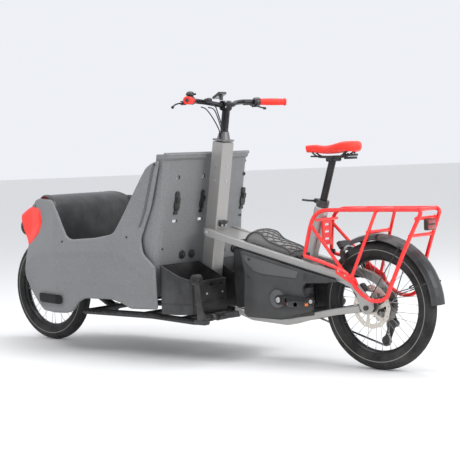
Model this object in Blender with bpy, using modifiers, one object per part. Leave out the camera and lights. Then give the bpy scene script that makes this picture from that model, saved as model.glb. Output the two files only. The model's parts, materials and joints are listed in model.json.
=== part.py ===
"""Two-wheeled cargo bicycle with a front box, modelled as separate parts.

Metres, +Z up, +X to the rear of the bicycle, +Y to the rider's right.
Every part is placed from the datum: the ground point midway between the two
axles of the reference wheelbase. The datum is shifted along X so that the
model's own origin is the middle of its outer box, on the ground.
"""
import math

import bmesh
import bpy
from mathutils import Matrix, Vector

# ---------------------------------------------------------------- driving sizes
WHEELBASE = 1.991
WHEEL_RADIUS = 0.265
TYRE_WIDTH = 0.060
RIM_RADIUS = 0.2025
RIM_WIDTH = 0.034
SPOKES = 16
SPOKE_RADIUS = 0.0014
HUB_FLANGE_RADIUS = 0.030
HUB_RADIUS = 0.016
FRONT_HUB_WIDTH = 0.110
REAR_HUB_WIDTH = 0.148
AXLE_RADIUS = 0.0060
ROTOR_RADIUS = 0.090
ROTOR_THICKNESS = 0.0020

BOX_HALF_WIDTH = 0.330
BOX_WALL = 0.014
BACK_WALL_THICKNESS = 0.012
BACK_WALL_TOP = 0.918
CHEEK_HALF_WIDTH = 0.302
PILLAR_TOP = 0.892
NOSE_TAPER = 0.27
NOSE_TAPER_START = -0.62
NOSE_LEAN = 0.45

COLUMN_LEAN = math.radians(9.5)
COLUMN_DEPTH = 0.067
COLUMN_WIDTH = 0.075
COLUMN_WALL = 0.004
COLUMN_TOP = 0.965
COLUMN_FOOT = 0.232
COLUMN_X_AT_TOP = 0.1875
RISER_RADIUS = 0.0143
BAR_RADIUS = 0.0111
BAR_HEIGHT = 1.128
BAR_HALF_WIDTH = 0.340
GRIP_LENGTH = 0.128
GRIP_RADIUS = 0.0170

HEAD_LEAN = math.radians(18.0)
FORK_OFFSET = 0.045
STEERER_RADIUS = 0.0143
HEAD_TUBE_RADIUS = 0.024
HEAD_TUBE_LOW = 0.590
HEAD_TUBE_TOP = 0.700
FORK_LEG_RADIUS = 0.0150

RAIL_INNER = 0.078
RAIL_OUTER = 0.100
RAIL_HEIGHT = 0.031
SEAT_LEAN = math.radians(17.9)
SEAT_TUBE_SIZE = 0.050
SEAT_TUBE_TOP = 0.672
SEATPOST_RADIUS = 0.0155
SEATPOST_TOP = 0.868

CRANK_X = 0.578
CRANK_Z = 0.284
CRANK_LENGTH = 0.170
SPINDLE_RADIUS = 0.012
CHAINRING_RADIUS = 0.070
CHAIN_PITCH_GAP = 0.0045
CHAIN_LINE = 0.047
COG_RADII = (0.072, 0.056, 0.042, 0.030)
COG_STEP = 0.0095
CHAIN_COG = 2
JOCKEY_RADIUS = 0.020

RACK_TUBE = 0.0085
RACK_TOP_HALF = 0.070
RACK_REAR_X = 1.262
MUDGUARD_HALF_WIDTH = 0.042
MUDGUARD_GAP = 0.028
MUDGUARD_DROP = 0.022
MUDGUARD_ENDS = (114.0, 3.0)
MUDGUARD_WALL = 0.003

LOCK_PLACE = 124.0
LOCK_CENTRE_RADIUS = 0.226
LOCK_RING = (0.050, 0.064)

STAND_PIVOT = (0.252, 0.200)
STAND_LEG = 0.172
STAND_HALF_WIDTH = 0.265
STAND_ROLLER_RADIUS = 0.0240
STAND_SHAFT_RADIUS = 0.0110

GAP = 0.0004
RUNNING_GAP = 0.0010
REFERENCE_WHEELBASE = 1.991

# ---------------------------------------------------------------- derived places
FRONT_AXLE_X = -WHEELBASE / 2
REAR_AXLE_X = WHEELBASE / 2
AXLE_Z = WHEEL_RADIUS
WHEELBASE_GROWTH = (WHEELBASE - REFERENCE_WHEELBASE) / 2
MODEL_FRONT = FRONT_AXLE_X - WHEEL_RADIUS
GUARD_RADIUS = WHEEL_RADIUS + MUDGUARD_GAP
GUARD_REACH = (GUARD_RADIUS + MUDGUARD_WALL / 2) * math.cos(math.radians(MUDGUARD_ENDS[1]))
MODEL_REAR = max(REAR_AXLE_X + GUARD_REACH, RACK_REAR_X + WHEELBASE_GROWTH + RACK_TUBE)
DATUM_SHIFT = -(MODEL_FRONT + MODEL_REAR) / 2
PARTS = bpy.data.collections.new("cargo_bicycle")
GUIDES = bpy.data.collections.new("guides")


def station(x):
    """Map a place along the reference bicycle to one with this wheelbase."""
    if x < -0.20:
        share = min(1.0, (-0.20 - x) / 0.35)
        return x - WHEELBASE_GROWTH * share
    share = min(1.0, max(0.0, (x - 0.36) / 0.06))
    return x + WHEELBASE_GROWTH * share


def lean_x(x_at, z_at, z, lean):
    """X at height z on a line that passes (x_at, z_at) and leans rearward."""
    return x_at + (z - z_at) * math.tan(lean)


def column_x(z):
    return lean_x(COLUMN_X_AT_TOP, COLUMN_TOP, z, COLUMN_LEAN)


def wall_x(z):
    """Rear face of the box's back wall, just ahead of the column."""
    front_of_column = column_x(z) - COLUMN_DEPTH / 2 / math.cos(COLUMN_LEAN)
    return front_of_column - 0.044


def seat_x(z):
    return lean_x(station(0.657), 0.473, z, SEAT_LEAN)


def head_x(z):
    foot = FRONT_AXLE_X + FORK_OFFSET / math.cos(HEAD_LEAN)
    return lean_x(foot, AXLE_Z, z, HEAD_LEAN)


def half_width(x, z):
    """Outer half-width of the box at a place along it and a height."""
    ahead = max(0.0, NOSE_TAPER_START - WHEELBASE_GROWTH - x)
    crease = 0.470 - 0.30 * min(ahead, 0.40)
    upper = min(max(0.0, z - crease), 0.20)
    slant = NOSE_LEAN * min(1.0, max(0.0, (ahead + 0.12) / 0.45))
    tuck = 0.055 * max(0.0, crease - z)
    return BOX_HALF_WIDTH - NOSE_TAPER * ahead - slant * upper - tuck


# ---------------------------------------------------------------- making things
def start_scene():
    for old in list(bpy.data.objects):
        bpy.data.objects.remove(old, do_unlink=True)
    for collection in (PARTS, GUIDES):
        bpy.context.scene.collection.children.link(collection)


def material(name, colour, roughness, metallic=0.0):
    made = bpy.data.materials.new(name)
    made.use_nodes = True
    shader = made.node_tree.nodes["Principled BSDF"]
    shader.inputs["Base Color"].default_value = (*colour, 1.0)
    shader.inputs["Roughness"].default_value = roughness
    shader.inputs["Metallic"].default_value = metallic
    return made


def mesh_object(name, bm):
    """A loose object in the guides, waiting to be joined, cut or placed."""
    mesh = bpy.data.meshes.new(name)
    bmesh.ops.recalc_face_normals(bm, faces=bm.faces)
    bm.to_mesh(mesh)
    bm.free()
    made = bpy.data.objects.new(name, mesh)
    GUIDES.objects.link(made)
    return made


def applied(shape):
    """The same object with its modifiers, or its curve, made into a mesh."""
    bpy.context.view_layer.update()
    graph = bpy.context.evaluated_depsgraph_get()
    mesh = bpy.data.meshes.new_from_object(shape.evaluated_get(graph))
    bm = bmesh.new()
    bm.from_mesh(mesh)
    bmesh.ops.remove_doubles(bm, verts=bm.verts, dist=0.00005)
    bmesh.ops.recalc_face_normals(bm, faces=bm.faces)
    bm.to_mesh(mesh)
    bm.free()
    mesh.transform(shape.matrix_world)
    made = bpy.data.objects.new(shape.name, mesh)
    GUIDES.objects.link(made)
    bpy.data.objects.remove(shape, do_unlink=True)
    return made


def combined(operation, base, others):
    for number, other in enumerate(others):
        step = base.modifiers.new(f"{operation.lower()}_{number}", "BOOLEAN")
        step.operation = operation
        step.object = other
        step.solver = "EXACT"
    result = applied(base)
    for other in others:
        bpy.data.objects.remove(other, do_unlink=True)
    return result


def joined(base, *others):
    return combined("UNION", base, others)


def cut(base, *cutters):
    return combined("DIFFERENCE", base, cutters)


def bevelled(shape, width, segments=1, angle=40):
    step = shape.modifiers.new("bevel", "BEVEL")
    step.width = width
    step.segments = segments
    step.limit_method = "ANGLE"
    step.angle_limit = math.radians(angle)
    return applied(shape)


def thickened(shape, thickness, offset=-1.0):
    step = shape.modifiers.new("wall", "SOLIDIFY")
    step.thickness = thickness
    step.offset = offset
    step.use_even_offset = True
    return applied(shape)


def place(name, shape, finish, pivot=None):
    """Give a finished shape its name and material, with its origin on its pivot."""
    shape.name = name
    shape.data.name = name
    GUIDES.objects.unlink(shape)
    PARTS.objects.link(shape)
    parent = pivot or DATUM
    shape.data.transform(Matrix.Translation(-pivot_place(parent)))
    shape.parent = parent
    shape.data.materials.clear()
    shape.data.materials.append(finish)
    shape.data.shade_smooth()
    shape.data.set_sharp_from_angle(angle=math.radians(35))
    return shape


def pivot_place(pivot):
    place_now = Vector((0, 0, 0))
    while pivot is not None and pivot is not DATUM:
        place_now += pivot.location
        pivot = pivot.parent
    return place_now


def pivot(name, where, parent=None):
    """An empty on a joint's axis, placed from the datum."""
    made = bpy.data.objects.new(name, None)
    PARTS.objects.link(made)
    parent = parent or DATUM
    made.location = Vector(where) - pivot_place(parent)
    made.parent = parent
    return made


def block(size, centre, turn=None, bevel=0.0, segments=1):
    bm = bmesh.new()
    bmesh.ops.create_cube(bm, size=1.0)
    bmesh.ops.scale(bm, vec=Vector(size), verts=bm.verts)
    shape = mesh_object("block", bm)
    if bevel:
        shape = bevelled(shape, bevel, segments)
    spin = turn.to_4x4() if turn else Matrix.Identity(4)
    shape.data.transform(Matrix.Translation(Vector(centre)) @ spin)
    return shape


def tilt_y(angle):
    """A turn that leans the top of a piece rearward by angle."""
    return Matrix.Rotation(angle, 3, "Y")


def rod(start, end, radius, sides=16, end_radius=None):
    start = Vector(start)
    end = Vector(end)
    along = end - start
    bm = bmesh.new()
    bmesh.ops.create_cone(bm, cap_ends=True, segments=sides, radius1=radius,
                          radius2=end_radius or radius, depth=along.length)
    turn = along.to_track_quat("Z", "Y").to_matrix().to_4x4()
    bmesh.ops.transform(bm, matrix=Matrix.Translation((start + end) / 2) @ turn, verts=bm.verts)
    return mesh_object("rod", bm)


def pipe(points, radius, cyclic=False, rounds=2, kind="POLY"):
    """A round bar along a list of points, with filled ends."""
    curve = bpy.data.curves.new("pipe", "CURVE")
    curve.dimensions = "3D"
    curve.bevel_depth = radius
    curve.bevel_resolution = rounds
    curve.use_fill_caps = not cyclic
    spline = curve.splines.new(kind)
    spline.points.add(len(points) - 1)
    for spot, point in zip(spline.points, points):
        spot.co = (*point, 1.0)
    spline.use_cyclic_u = cyclic
    shape = bpy.data.objects.new("pipe", curve)
    GUIDES.objects.link(shape)
    return applied(shape)


def flat(points, y_low, y_high, holes=()):
    """A plate whose outline lies in XZ, between two Y faces."""
    curve = bpy.data.curves.new("flat", "CURVE")
    curve.dimensions = "2D"
    curve.fill_mode = "BOTH"
    curve.extrude = (y_high - y_low) / 2
    for loop in (points, *holes):
        spline = curve.splines.new("POLY")
        spline.points.add(len(loop) - 1)
        for spot, (x, z) in zip(spline.points, loop):
            spot.co = (x, z, 0.0, 1.0)
        spline.use_cyclic_u = True
    shape = bpy.data.objects.new("flat", curve)
    middle = (y_low + y_high) / 2
    shape.matrix_world = Matrix.Translation((0, middle, 0)) @ Matrix.Rotation(math.pi / 2, 4, "X")
    GUIDES.objects.link(shape)
    return applied(shape)


def turned(profile, centre, axis="Y", steps=32, closed=True):
    """A turned shape: (radius, place along the axis) points about an axis."""
    bm = bmesh.new()
    spots = [bm.verts.new((radius, 0, along)) for radius, along in profile]
    pairs = list(zip(spots, spots[1:]))
    if closed:
        pairs.append((spots[-1], spots[0]))
    for first, second in pairs:
        bm.edges.new((first, second))
    mesh = bpy.data.meshes.new("turned")
    bm.to_mesh(mesh)
    bm.free()
    shape = bpy.data.objects.new("turned", mesh)
    GUIDES.objects.link(shape)
    step = shape.modifiers.new("turn", "SCREW")
    step.steps = steps
    step.render_steps = steps
    step.use_merge_vertices = True
    step.merge_threshold = 0.0001
    step.use_normal_calculate = True
    turn = {"Z": Matrix.Identity(4), "Y": Matrix.Rotation(-math.pi / 2, 4, "X"),
            "X": Matrix.Rotation(math.pi / 2, 4, "Y")}[axis]
    shape.matrix_world = Matrix.Translation(Vector(centre)) @ turn
    return applied(shape)


def mirrored(shape):
    """A copy of a shape on the other side of the bicycle."""
    mesh = shape.data.copy()
    mesh.transform(Matrix.Scale(-1, 4, (0, 1, 0)))
    mesh.flip_normals()
    made = bpy.data.objects.new("mirrored", mesh)
    GUIDES.objects.link(made)
    return made


def arc(centre, radius, start, end, steps):
    """Points on an arc, angles in degrees."""
    spots = []
    for number in range(steps + 1):
        angle = math.radians(start + (end - start) * number / steps)
        spots.append((centre[0] + radius * math.cos(angle), centre[1] + radius * math.sin(angle)))
    return spots


def offset_path(points, distance):
    """The same flat path moved sideways, to its left."""
    moved = []
    for number, point in enumerate(points):
        before = Vector(points[max(number - 1, 0)])
        after = Vector(points[min(number + 1, len(points) - 1)])
        along = (after - before).normalized()
        moved.append((point[0] - along.y * distance, point[1] + along.x * distance))
    return moved


def band(path, thickness, y_low, y_high):
    """A bar of even height along a flat path in XZ."""
    upper = offset_path(path, thickness / 2)
    lower = offset_path(path, -thickness / 2)
    return flat(upper + lower[::-1], y_low, y_high)


def curved_panel(outline, x_cuts, z_cuts, side, inset=0.0, holes=()):
    """An open skin that follows the box's outer surface, from a flat outline."""
    skin = flat(outline, -0.0005, 0.0005, holes)
    bm = bmesh.new()
    bm.from_mesh(skin.data)
    bpy.data.objects.remove(skin, do_unlink=True)
    far = [face for face in bm.faces if face.calc_center_median().y < 0.0004]
    bmesh.ops.delete(bm, geom=far, context="FACES")
    for normal, places in (((1, 0, 0), x_cuts), ((0, 0, 1), z_cuts)):
        for spot in places:
            everything = bm.verts[:] + bm.edges[:] + bm.faces[:]
            where = Vector(normal) * spot
            bmesh.ops.bisect_plane(bm, geom=everything, plane_co=where, plane_no=normal)
    bmesh.ops.dissolve_limit(bm, angle_limit=0.01, verts=[], edges=[])
    bmesh.ops.triangulate(bm, faces=bm.faces)
    for vert in bm.verts:
        vert.co.y = side * (half_width(vert.co.x, vert.co.z) - inset)
    for face in bm.faces:
        face.normal_update()
    facing = sum(face.normal.y * face.calc_area() for face in bm.faces)
    if facing * side < 0:
        bmesh.ops.reverse_faces(bm, faces=bm.faces)
    mesh = bpy.data.meshes.new("panel")
    bm.to_mesh(mesh)
    bm.free()
    made = bpy.data.objects.new("panel", mesh)
    GUIDES.objects.link(made)
    return made


# ---------------------------------------------------------------- wheels
def tyre(name, axle_x, finish, pivot_at):
    """An open-bottomed tyre section turned round the axle."""
    tread = 0.0045
    height = WHEEL_RADIUS - RIM_RADIUS
    half = TYRE_WIDTH / 2
    outer = []
    for number in range(7):
        angle = math.radians(-62 + 304 * number / 6)
        outer.append((RIM_RADIUS + height * 0.52 + height * 0.48 * math.sin(angle),
                      half * math.cos(angle)))
    foot = half * 0.47
    skin = [(RIM_RADIUS + GAP, foot)] + outer[1:-1] + [(RIM_RADIUS + GAP, -foot)]
    inner = [(RIM_RADIUS + GAP, -foot + tread)]
    for number in range(4):
        angle = math.radians(225 - 270 * number / 3)
        inner.append((RIM_RADIUS + height * 0.50 + (height * 0.46 - tread) * math.sin(angle),
                      (half - tread) * math.cos(angle)))
    inner.append((RIM_RADIUS + GAP, foot - tread))
    shape = turned(skin + inner, (axle_x, 0, AXLE_Z), steps=36)
    return place(name, shape, finish, pivot_at)


def wheel(name, axle_x, hub_profile, flanges, finish, pivot_at):
    """Rim, spokes and hub as one laced wheel."""
    half = RIM_WIDTH / 2
    depth = 0.016
    rim_profile = [(RIM_RADIUS, half), (RIM_RADIUS, -half),
                   (RIM_RADIUS - depth * 0.6, -half * 0.95), (RIM_RADIUS - depth, -half * 0.45),
                   (RIM_RADIUS - depth, half * 0.45), (RIM_RADIUS - depth * 0.6, half * 0.95)]
    centre = Vector((axle_x, 0, AXLE_Z))
    rim = turned(rim_profile, centre, steps=36)
    hub = turned(hub_profile, centre, steps=12)
    spokes = []
    for number in range(SPOKES):
        flange = flanges[number % 2]
        lead = 1 if number % 4 < 2 else -1
        at_rim = 2 * math.pi * number / SPOKES
        at_hub = at_rim + lead * math.radians(62)
        inner = Vector((math.cos(at_hub), 0, math.sin(at_hub))) * (HUB_FLANGE_RADIUS - 0.004)
        outer = Vector((math.cos(at_rim), 0, math.sin(at_rim))) * (RIM_RADIUS - depth + 0.003)
        inner.y = flange + lead * 0.0012
        outer.y = flange * 0.12
        spokes.append(rod(centre + inner, centre + outer, SPOKE_RADIUS, sides=4))
    shape = joined(rim, hub, *spokes)
    return place(name, shape, finish, pivot_at)


def hub_profile(width, flanges, right_nose=0.0):
    """A hub shell from its left end to its right end, bored for the axle."""
    bore = AXLE_RADIUS + 0.0005
    left = -width / 2 + 0.0005
    right = width / 2 - 0.0005
    thick = 0.0025
    body = HUB_RADIUS
    profile = [(bore, left), (0.011, left), (0.011, left + 0.010), (0.0222, left + 0.011)]
    profile += [(0.0222, flanges[0] - thick)]
    for place_y in flanges:
        profile += [(HUB_FLANGE_RADIUS, place_y - thick), (HUB_FLANGE_RADIUS, place_y + thick),
                    (body, place_y + thick)]
    nose = right_nose or body
    profile += [(nose, flanges[1] + 0.004), (nose, right - 0.012), (0.011, right - 0.0115)]
    profile += [(0.011, right), (bore, right)]
    return profile[::-1]


def rotor(name, axle_x, y_low, finish, pivot_at):
    """A brake disc: an outer braking ring on curved arms."""
    holes = []
    arms = 6
    for number in range(arms):
        start = 360 * number / arms
        inner = arc((0, 0), 0.036, start + 8, start + 48, 1)
        outer = arc((0, 0), ROTOR_RADIUS - 0.018, start + 58, start + 18, 2)
        holes.append([(x + axle_x, z + AXLE_Z) for x, z in inner + outer])
    bore = [(x + axle_x, z + AXLE_Z) for x, z in arc((0, 0), 0.0232, 0, 337.5, 15)]
    rim = [(x + axle_x, z + AXLE_Z) for x, z in arc((0, 0), ROTOR_RADIUS, 0, 348.75, 31)]
    shape = flat(rim, y_low, y_low + ROTOR_THICKNESS, [bore] + holes)
    return place(name, shape, finish, pivot_at)


def make_wheels(finishes):
    front_flanges = (-0.030, 0.034)
    rear_flanges = (-0.036, 0.018)
    front = pivot("front_wheel_axis", (FRONT_AXLE_X, 0, AXLE_Z), STEER)
    rear = pivot("rear_wheel_axis", (REAR_AXLE_X, 0, AXLE_Z))
    tyre("front_tyre", FRONT_AXLE_X, finishes["rubber"], front)
    tyre("rear_tyre", REAR_AXLE_X, finishes["rubber"], rear)
    wheel("front_wheel", FRONT_AXLE_X, hub_profile(FRONT_HUB_WIDTH, front_flanges),
          front_flanges, finishes["black"], front)
    rear_hub = hub_profile(REAR_HUB_WIDTH, rear_flanges, right_nose=0.0172)
    wheel("rear_wheel", REAR_AXLE_X, rear_hub, rear_flanges, finishes["black"], rear)
    rotor("front_rotor", FRONT_AXLE_X, -0.0415, finishes["steel"], front)
    rotor("rear_rotor", REAR_AXLE_X, -0.0605, finishes["steel"], rear)
    make_cassette(finishes)
    reach = RAIL_OUTER + 0.004
    axle = rod((REAR_AXLE_X, -reach, AXLE_Z), (REAR_AXLE_X, reach, AXLE_Z), AXLE_RADIUS)
    heads = [rod((REAR_AXLE_X, side * (RAIL_OUTER + GAP), AXLE_Z),
                 (REAR_AXLE_X, side * (reach + 0.003), AXLE_Z), 0.0105) for side in (-1, 1)]
    place("rear_axle", joined(axle, *heads), finishes["black"])


def cog_y(number):
    return 0.0262 + COG_STEP * number


def make_cassette(finishes):
    axis = pivot("cassette_axis", (REAR_AXLE_X, 0, AXLE_Z))
    bore = 0.0172 + RUNNING_GAP
    profile = [(bore, cog_y(0)), (COG_RADII[0], cog_y(0))]
    for number, radius in enumerate(COG_RADII):
        if number:
            profile.append((radius, cog_y(number)))
        profile.append((radius, cog_y(number) + 0.0030))
        if number + 1 < len(COG_RADII):
            profile.append((COG_RADII[number + 1] - 0.004, cog_y(number) + 0.0034))
            profile.append((COG_RADII[number + 1] - 0.004, cog_y(number + 1)))
    profile.append((bore, cog_y(len(COG_RADII) - 1) + 0.0030))
    shape = turned(profile[::-1], (REAR_AXLE_X, 0, AXLE_Z), steps=20)
    place("cassette", shape, finishes["dark_steel"], axis)


# ---------------------------------------------------------------- front end
def make_fork(finishes):
    lean = Vector((math.sin(HEAD_LEAN), 0, math.cos(HEAD_LEAN)))
    crown_z = HEAD_TUBE_LOW - 0.030
    crown = Vector((head_x(crown_z), 0, crown_z))
    leg_y = FRONT_HUB_WIDTH / 2 + 0.0128
    top = Vector((head_x(HEAD_TUBE_TOP), 0, HEAD_TUBE_TOP)) + lean * 0.022
    steerer = rod(crown - lean * 0.012, top, STEERER_RADIUS, sides=16)
    bridge = block((0.046, leg_y * 2 + 0.030, 0.034), crown, tilt_y(HEAD_LEAN), 0.006)
    race = rod(crown, crown + lean * (0.030 / math.cos(HEAD_LEAN) - 0.002), 0.0235, sides=16)
    pieces = [bridge, race]
    for side in (-1, 1):
        hip = crown + Vector((0, side * leg_y, 0)) + lean * 0.010
        foot = Vector((FRONT_AXLE_X + 0.006, side * leg_y, AXLE_Z))
        pieces.append(rod(foot, hip, FORK_LEG_RADIUS * 0.80, 12, FORK_LEG_RADIUS))
        dropout = (FRONT_AXLE_X + 0.001, side * (leg_y - 0.0038), AXLE_Z + 0.002)
        pieces.append(block((0.034, 0.015, 0.046), dropout, None, 0.004))
    reach = leg_y + 0.014
    pieces.append(rod((FRONT_AXLE_X, -reach, AXLE_Z), (FRONT_AXLE_X, reach, AXLE_Z), AXLE_RADIUS, 16))
    place("fork", joined(steerer, *pieces), finishes["silver"], STEER)


def make_cargo_frame(finishes):
    """Head tube, down tube and the two floor tubes under the box."""
    lean = Vector((math.sin(HEAD_LEAN), 0, math.cos(HEAD_LEAN)))
    low = Vector((head_x(HEAD_TUBE_LOW), 0, HEAD_TUBE_LOW))
    high = Vector((head_x(HEAD_TUBE_TOP), 0, HEAD_TUBE_TOP))
    head = rod(low, high, HEAD_TUBE_RADIUS, sides=20)
    joint = low.lerp(high, 0.52)
    knee = Vector((station(-0.655), 0, 0.238))
    side_y = 0.190
    floor_z = 0.188
    down = pipe([joint + lean * 0.012, joint + Vector((0.075, 0, -0.10)), knee,
                 (station(-0.560), 0, 0.190), (station(-0.535), 0, floor_z)], 0.0200)
    pieces = [down]
    cross_stations = (station(-0.540), station(-0.18), 0.045)
    for x in cross_stations:
        z = floor_z - 0.022 * max(0.0, min(1.0, (x + 0.10) / 0.30))
        pieces.append(rod((x, -side_y, z), (x, side_y, z), 0.0125, 12))
    for side in (-1, 1):
        path = [(station(-0.560), side * side_y, floor_z), (station(-0.12), side * side_y, floor_z),
                (0.140, side * side_y, 0.174), (0.180, side * (side_y - 0.006), 0.178),
                (0.215, side * (side_y - 0.030), 0.194), (0.290, side * 0.098, 0.204),
                (0.318, side * 0.0890, 0.208)]
        pieces.append(pipe(path, 0.0150))
        pieces.append(rod((STAND_PIVOT[0], side * 0.108, STAND_PIVOT[1]),
                          (STAND_PIVOT[0], side * 0.162, STAND_PIVOT[1]), 0.0185, 16))
    shape = joined(head, *pieces)
    bore = rod(low - lean * 0.03, high + lean * 0.03, STEERER_RADIUS + RUNNING_GAP, sides=16)
    bearing = rod((STAND_PIVOT[0], -0.20, STAND_PIVOT[1]), (STAND_PIVOT[0], 0.20, STAND_PIVOT[1]),
                  STAND_SHAFT_RADIUS + RUNNING_GAP, sides=16)
    place("cargo_frame", cut(shape, bore, bearing), finishes["black"])


# ---------------------------------------------------------------- steering column and rails
def make_column(finishes):
    """Square column, its yoke between the rails, and the cap on its top."""
    middle_z = (COLUMN_TOP + COLUMN_FOOT) / 2
    length = (COLUMN_TOP - COLUMN_FOOT) / math.cos(COLUMN_LEAN)
    centre = (column_x(middle_z), 0, middle_z)
    turn = tilt_y(COLUMN_LEAN)
    post = block((COLUMN_DEPTH, COLUMN_WIDTH, length), centre, turn, 0.004)
    yoke_top = [(0.118, 0.581), (0.150, 0.574), (0.330, 0.533)]
    yoke = flat(yoke_top + [(x, z - 0.016) for x, z in yoke_top[::-1]],
                -RAIL_INNER + GAP, RAIL_INNER - GAP)
    post = joined(post, yoke)
    hollow = block((COLUMN_DEPTH - 2 * COLUMN_WALL, COLUMN_WIDTH - 2 * COLUMN_WALL, length * 1.1),
                   centre, turn)
    cuts = [hollow]
    for z in (0.857, 0.791):
        x = column_x(z)
        cuts.append(rod((x - 0.001, -0.06, z), (x - 0.001, 0.06, z), 0.0045, 10))
    place("steering_column", cut(post, *cuts), finishes["silver"])

    seat_z = COLUMN_TOP + 0.0015
    lean = Vector((math.sin(COLUMN_LEAN), 0, math.cos(COLUMN_LEAN)))
    foot = Vector((column_x(seat_z), 0, seat_z)) + lean * 0.006
    base = block((COLUMN_DEPTH, COLUMN_WIDTH, 0.008), foot, turn, 0.002)
    dome = rod(foot, foot + lean * 0.038, 0.031, 20, 0.0215)
    hole = rod(foot - lean * 0.05, foot + lean * 0.08, RISER_RADIUS + 0.0035 + RUNNING_GAP, 24)
    place("column_cap", cut(joined(base, dome), hole), finishes["cast"])


def rail_outline():
    """Upper frame rail from the column back and down to the rear axle."""
    top = [(0.142, 0.578), (0.156, 0.580), (0.385, 0.519), (station(0.684), 0.447),
           (station(0.860), 0.406), (station(0.905), 0.393), (station(0.940), 0.372),
           (station(0.968), 0.340)]
    drop_x = REAR_AXLE_X
    rear = [(drop_x + 0.022, AXLE_Z + 0.030), (drop_x + 0.026, AXLE_Z - 0.004),
            (drop_x + 0.010, AXLE_Z - 0.026), (drop_x - 0.014, AXLE_Z - 0.026),
            (drop_x - 0.030, AXLE_Z - 0.008)]
    under = [(station(0.946), 0.318), (station(0.918), 0.345), (station(0.880), 0.361)]
    front = [(station(0.684), 0.447 - RAIL_HEIGHT), (0.385, 0.519 - RAIL_HEIGHT),
             (0.205, 0.565 - RAIL_HEIGHT), (0.142, 0.580 - RAIL_HEIGHT)]
    return top + rear + under + front


def make_rails(finishes):
    bore = arc((REAR_AXLE_X, AXLE_Z), AXLE_RADIUS + GAP, 0, 337.5, 15)
    stay = [(0.300, 0.222), (0.345, 0.214), (0.400, 0.197), (station(0.590), 0.186),
            (station(0.640), 0.195), (station(0.740), 0.222), (station(0.850), 0.243),
            (REAR_AXLE_X - 0.034, AXLE_Z - 0.0065)]
    for side, word in ((-1, "left"), (1, "right")):
        low, high = sorted((side * RAIL_INNER, side * RAIL_OUTER))
        rail = flat(rail_outline(), low, high, [bore])
        rail = bevelled(rail, 0.003, angle=50)
        place(f"frame_rail_{word}", rail, finishes["silver"])
        bar = band(stay, 0.028, low, high)
        pockets = [rod((0.250, side * 0.1311, 0.1987), (0.2945, side * 0.0943, 0.2046), 0.0172, 16),
                   rod((0.2855, side * 0.0994, 0.2034), (0.322, side * 0.0877, 0.2086), 0.0166, 16)]
        bar = cut(bevelled(bar, 0.003, angle=50), *pockets)
        place(f"lower_rail_{word}", bar, finishes["silver"])


def make_seat_tube(finishes):
    lean = Vector((math.sin(SEAT_LEAN), 0, math.cos(SEAT_LEAN)))
    foot_z = 0.405
    foot = Vector((seat_x(foot_z), 0, foot_z))
    top = Vector((seat_x(SEAT_TUBE_TOP), 0, SEAT_TUBE_TOP))
    size = SEAT_TUBE_SIZE
    tube = block((size, size * 0.94, (top - foot).length), (foot + top) / 2,
                 tilt_y(SEAT_LEAN), 0.010, 2)
    brace = block((0.070, 2 * (RAIL_INNER - GAP), 0.024), (seat_x(0.428), 0, 0.428),
                  tilt_y(math.radians(13.5)), 0.004)
    bore = rod(foot - lean * 0.05, top + lean * 0.05, SEATPOST_RADIUS + RUNNING_GAP, 20)
    place("seat_tube", cut(joined(tube, brace), bore), finishes["silver"])

    collar_low = top + lean * 0.001
    collar = rod(collar_low, collar_low + lean * 0.026, 0.0270, 20)
    across = Vector((math.cos(SEAT_LEAN), 0, -math.sin(SEAT_LEAN)))
    ears = block((0.022, 0.018, 0.018), collar_low + lean * 0.013 - across * 0.032,
                 tilt_y(SEAT_LEAN), 0.002)
    lever = pipe([collar_low + Vector((-0.036, 0.006, 0.023)), collar_low + Vector((-0.040, -0.016, 0.024)),
                  collar_low + Vector((-0.046, -0.036, 0.026)), collar_low + Vector((-0.066, -0.052, 0.030))],
                 0.0045)
    hole = rod(collar_low - lean * 0.02, collar_low + lean * 0.06, SEATPOST_RADIUS + RUNNING_GAP, 20)
    place("seat_collar", cut(joined(collar, ears, lever), hole), finishes["black"])

    slide = pivot("seatpost_slide", top)
    post_top = Vector((seat_x(SEATPOST_TOP), 0, SEATPOST_TOP))
    post = rod(post_top - lean * 0.400, post_top, SEATPOST_RADIUS, 20)
    cradle = block((0.052, 0.050, 0.022), post_top + Vector((0.004, 0, 0.002)), None, 0.005)
    rails = []
    for side in (-1, 1):
        y = side * 0.022
        base = post_top + Vector((0, y, 0.0125))
        rails.append(pipe([base + Vector((-0.105, -y * 0.55, 0.003)), base + Vector((-0.072, -y * 0.20, 0.002)),
                           base + Vector((-0.045, 0, 0)), base + Vector((0.055, 0, 0)),
                           base + Vector((0.085, y * 0.40, 0.010)), base + Vector((0.100, y * 0.60, 0.022))],
                          0.0036))
    place("seatpost", joined(post, cradle, *rails), finishes["black"], slide)
    make_saddle(finishes, post_top, slide)


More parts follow.
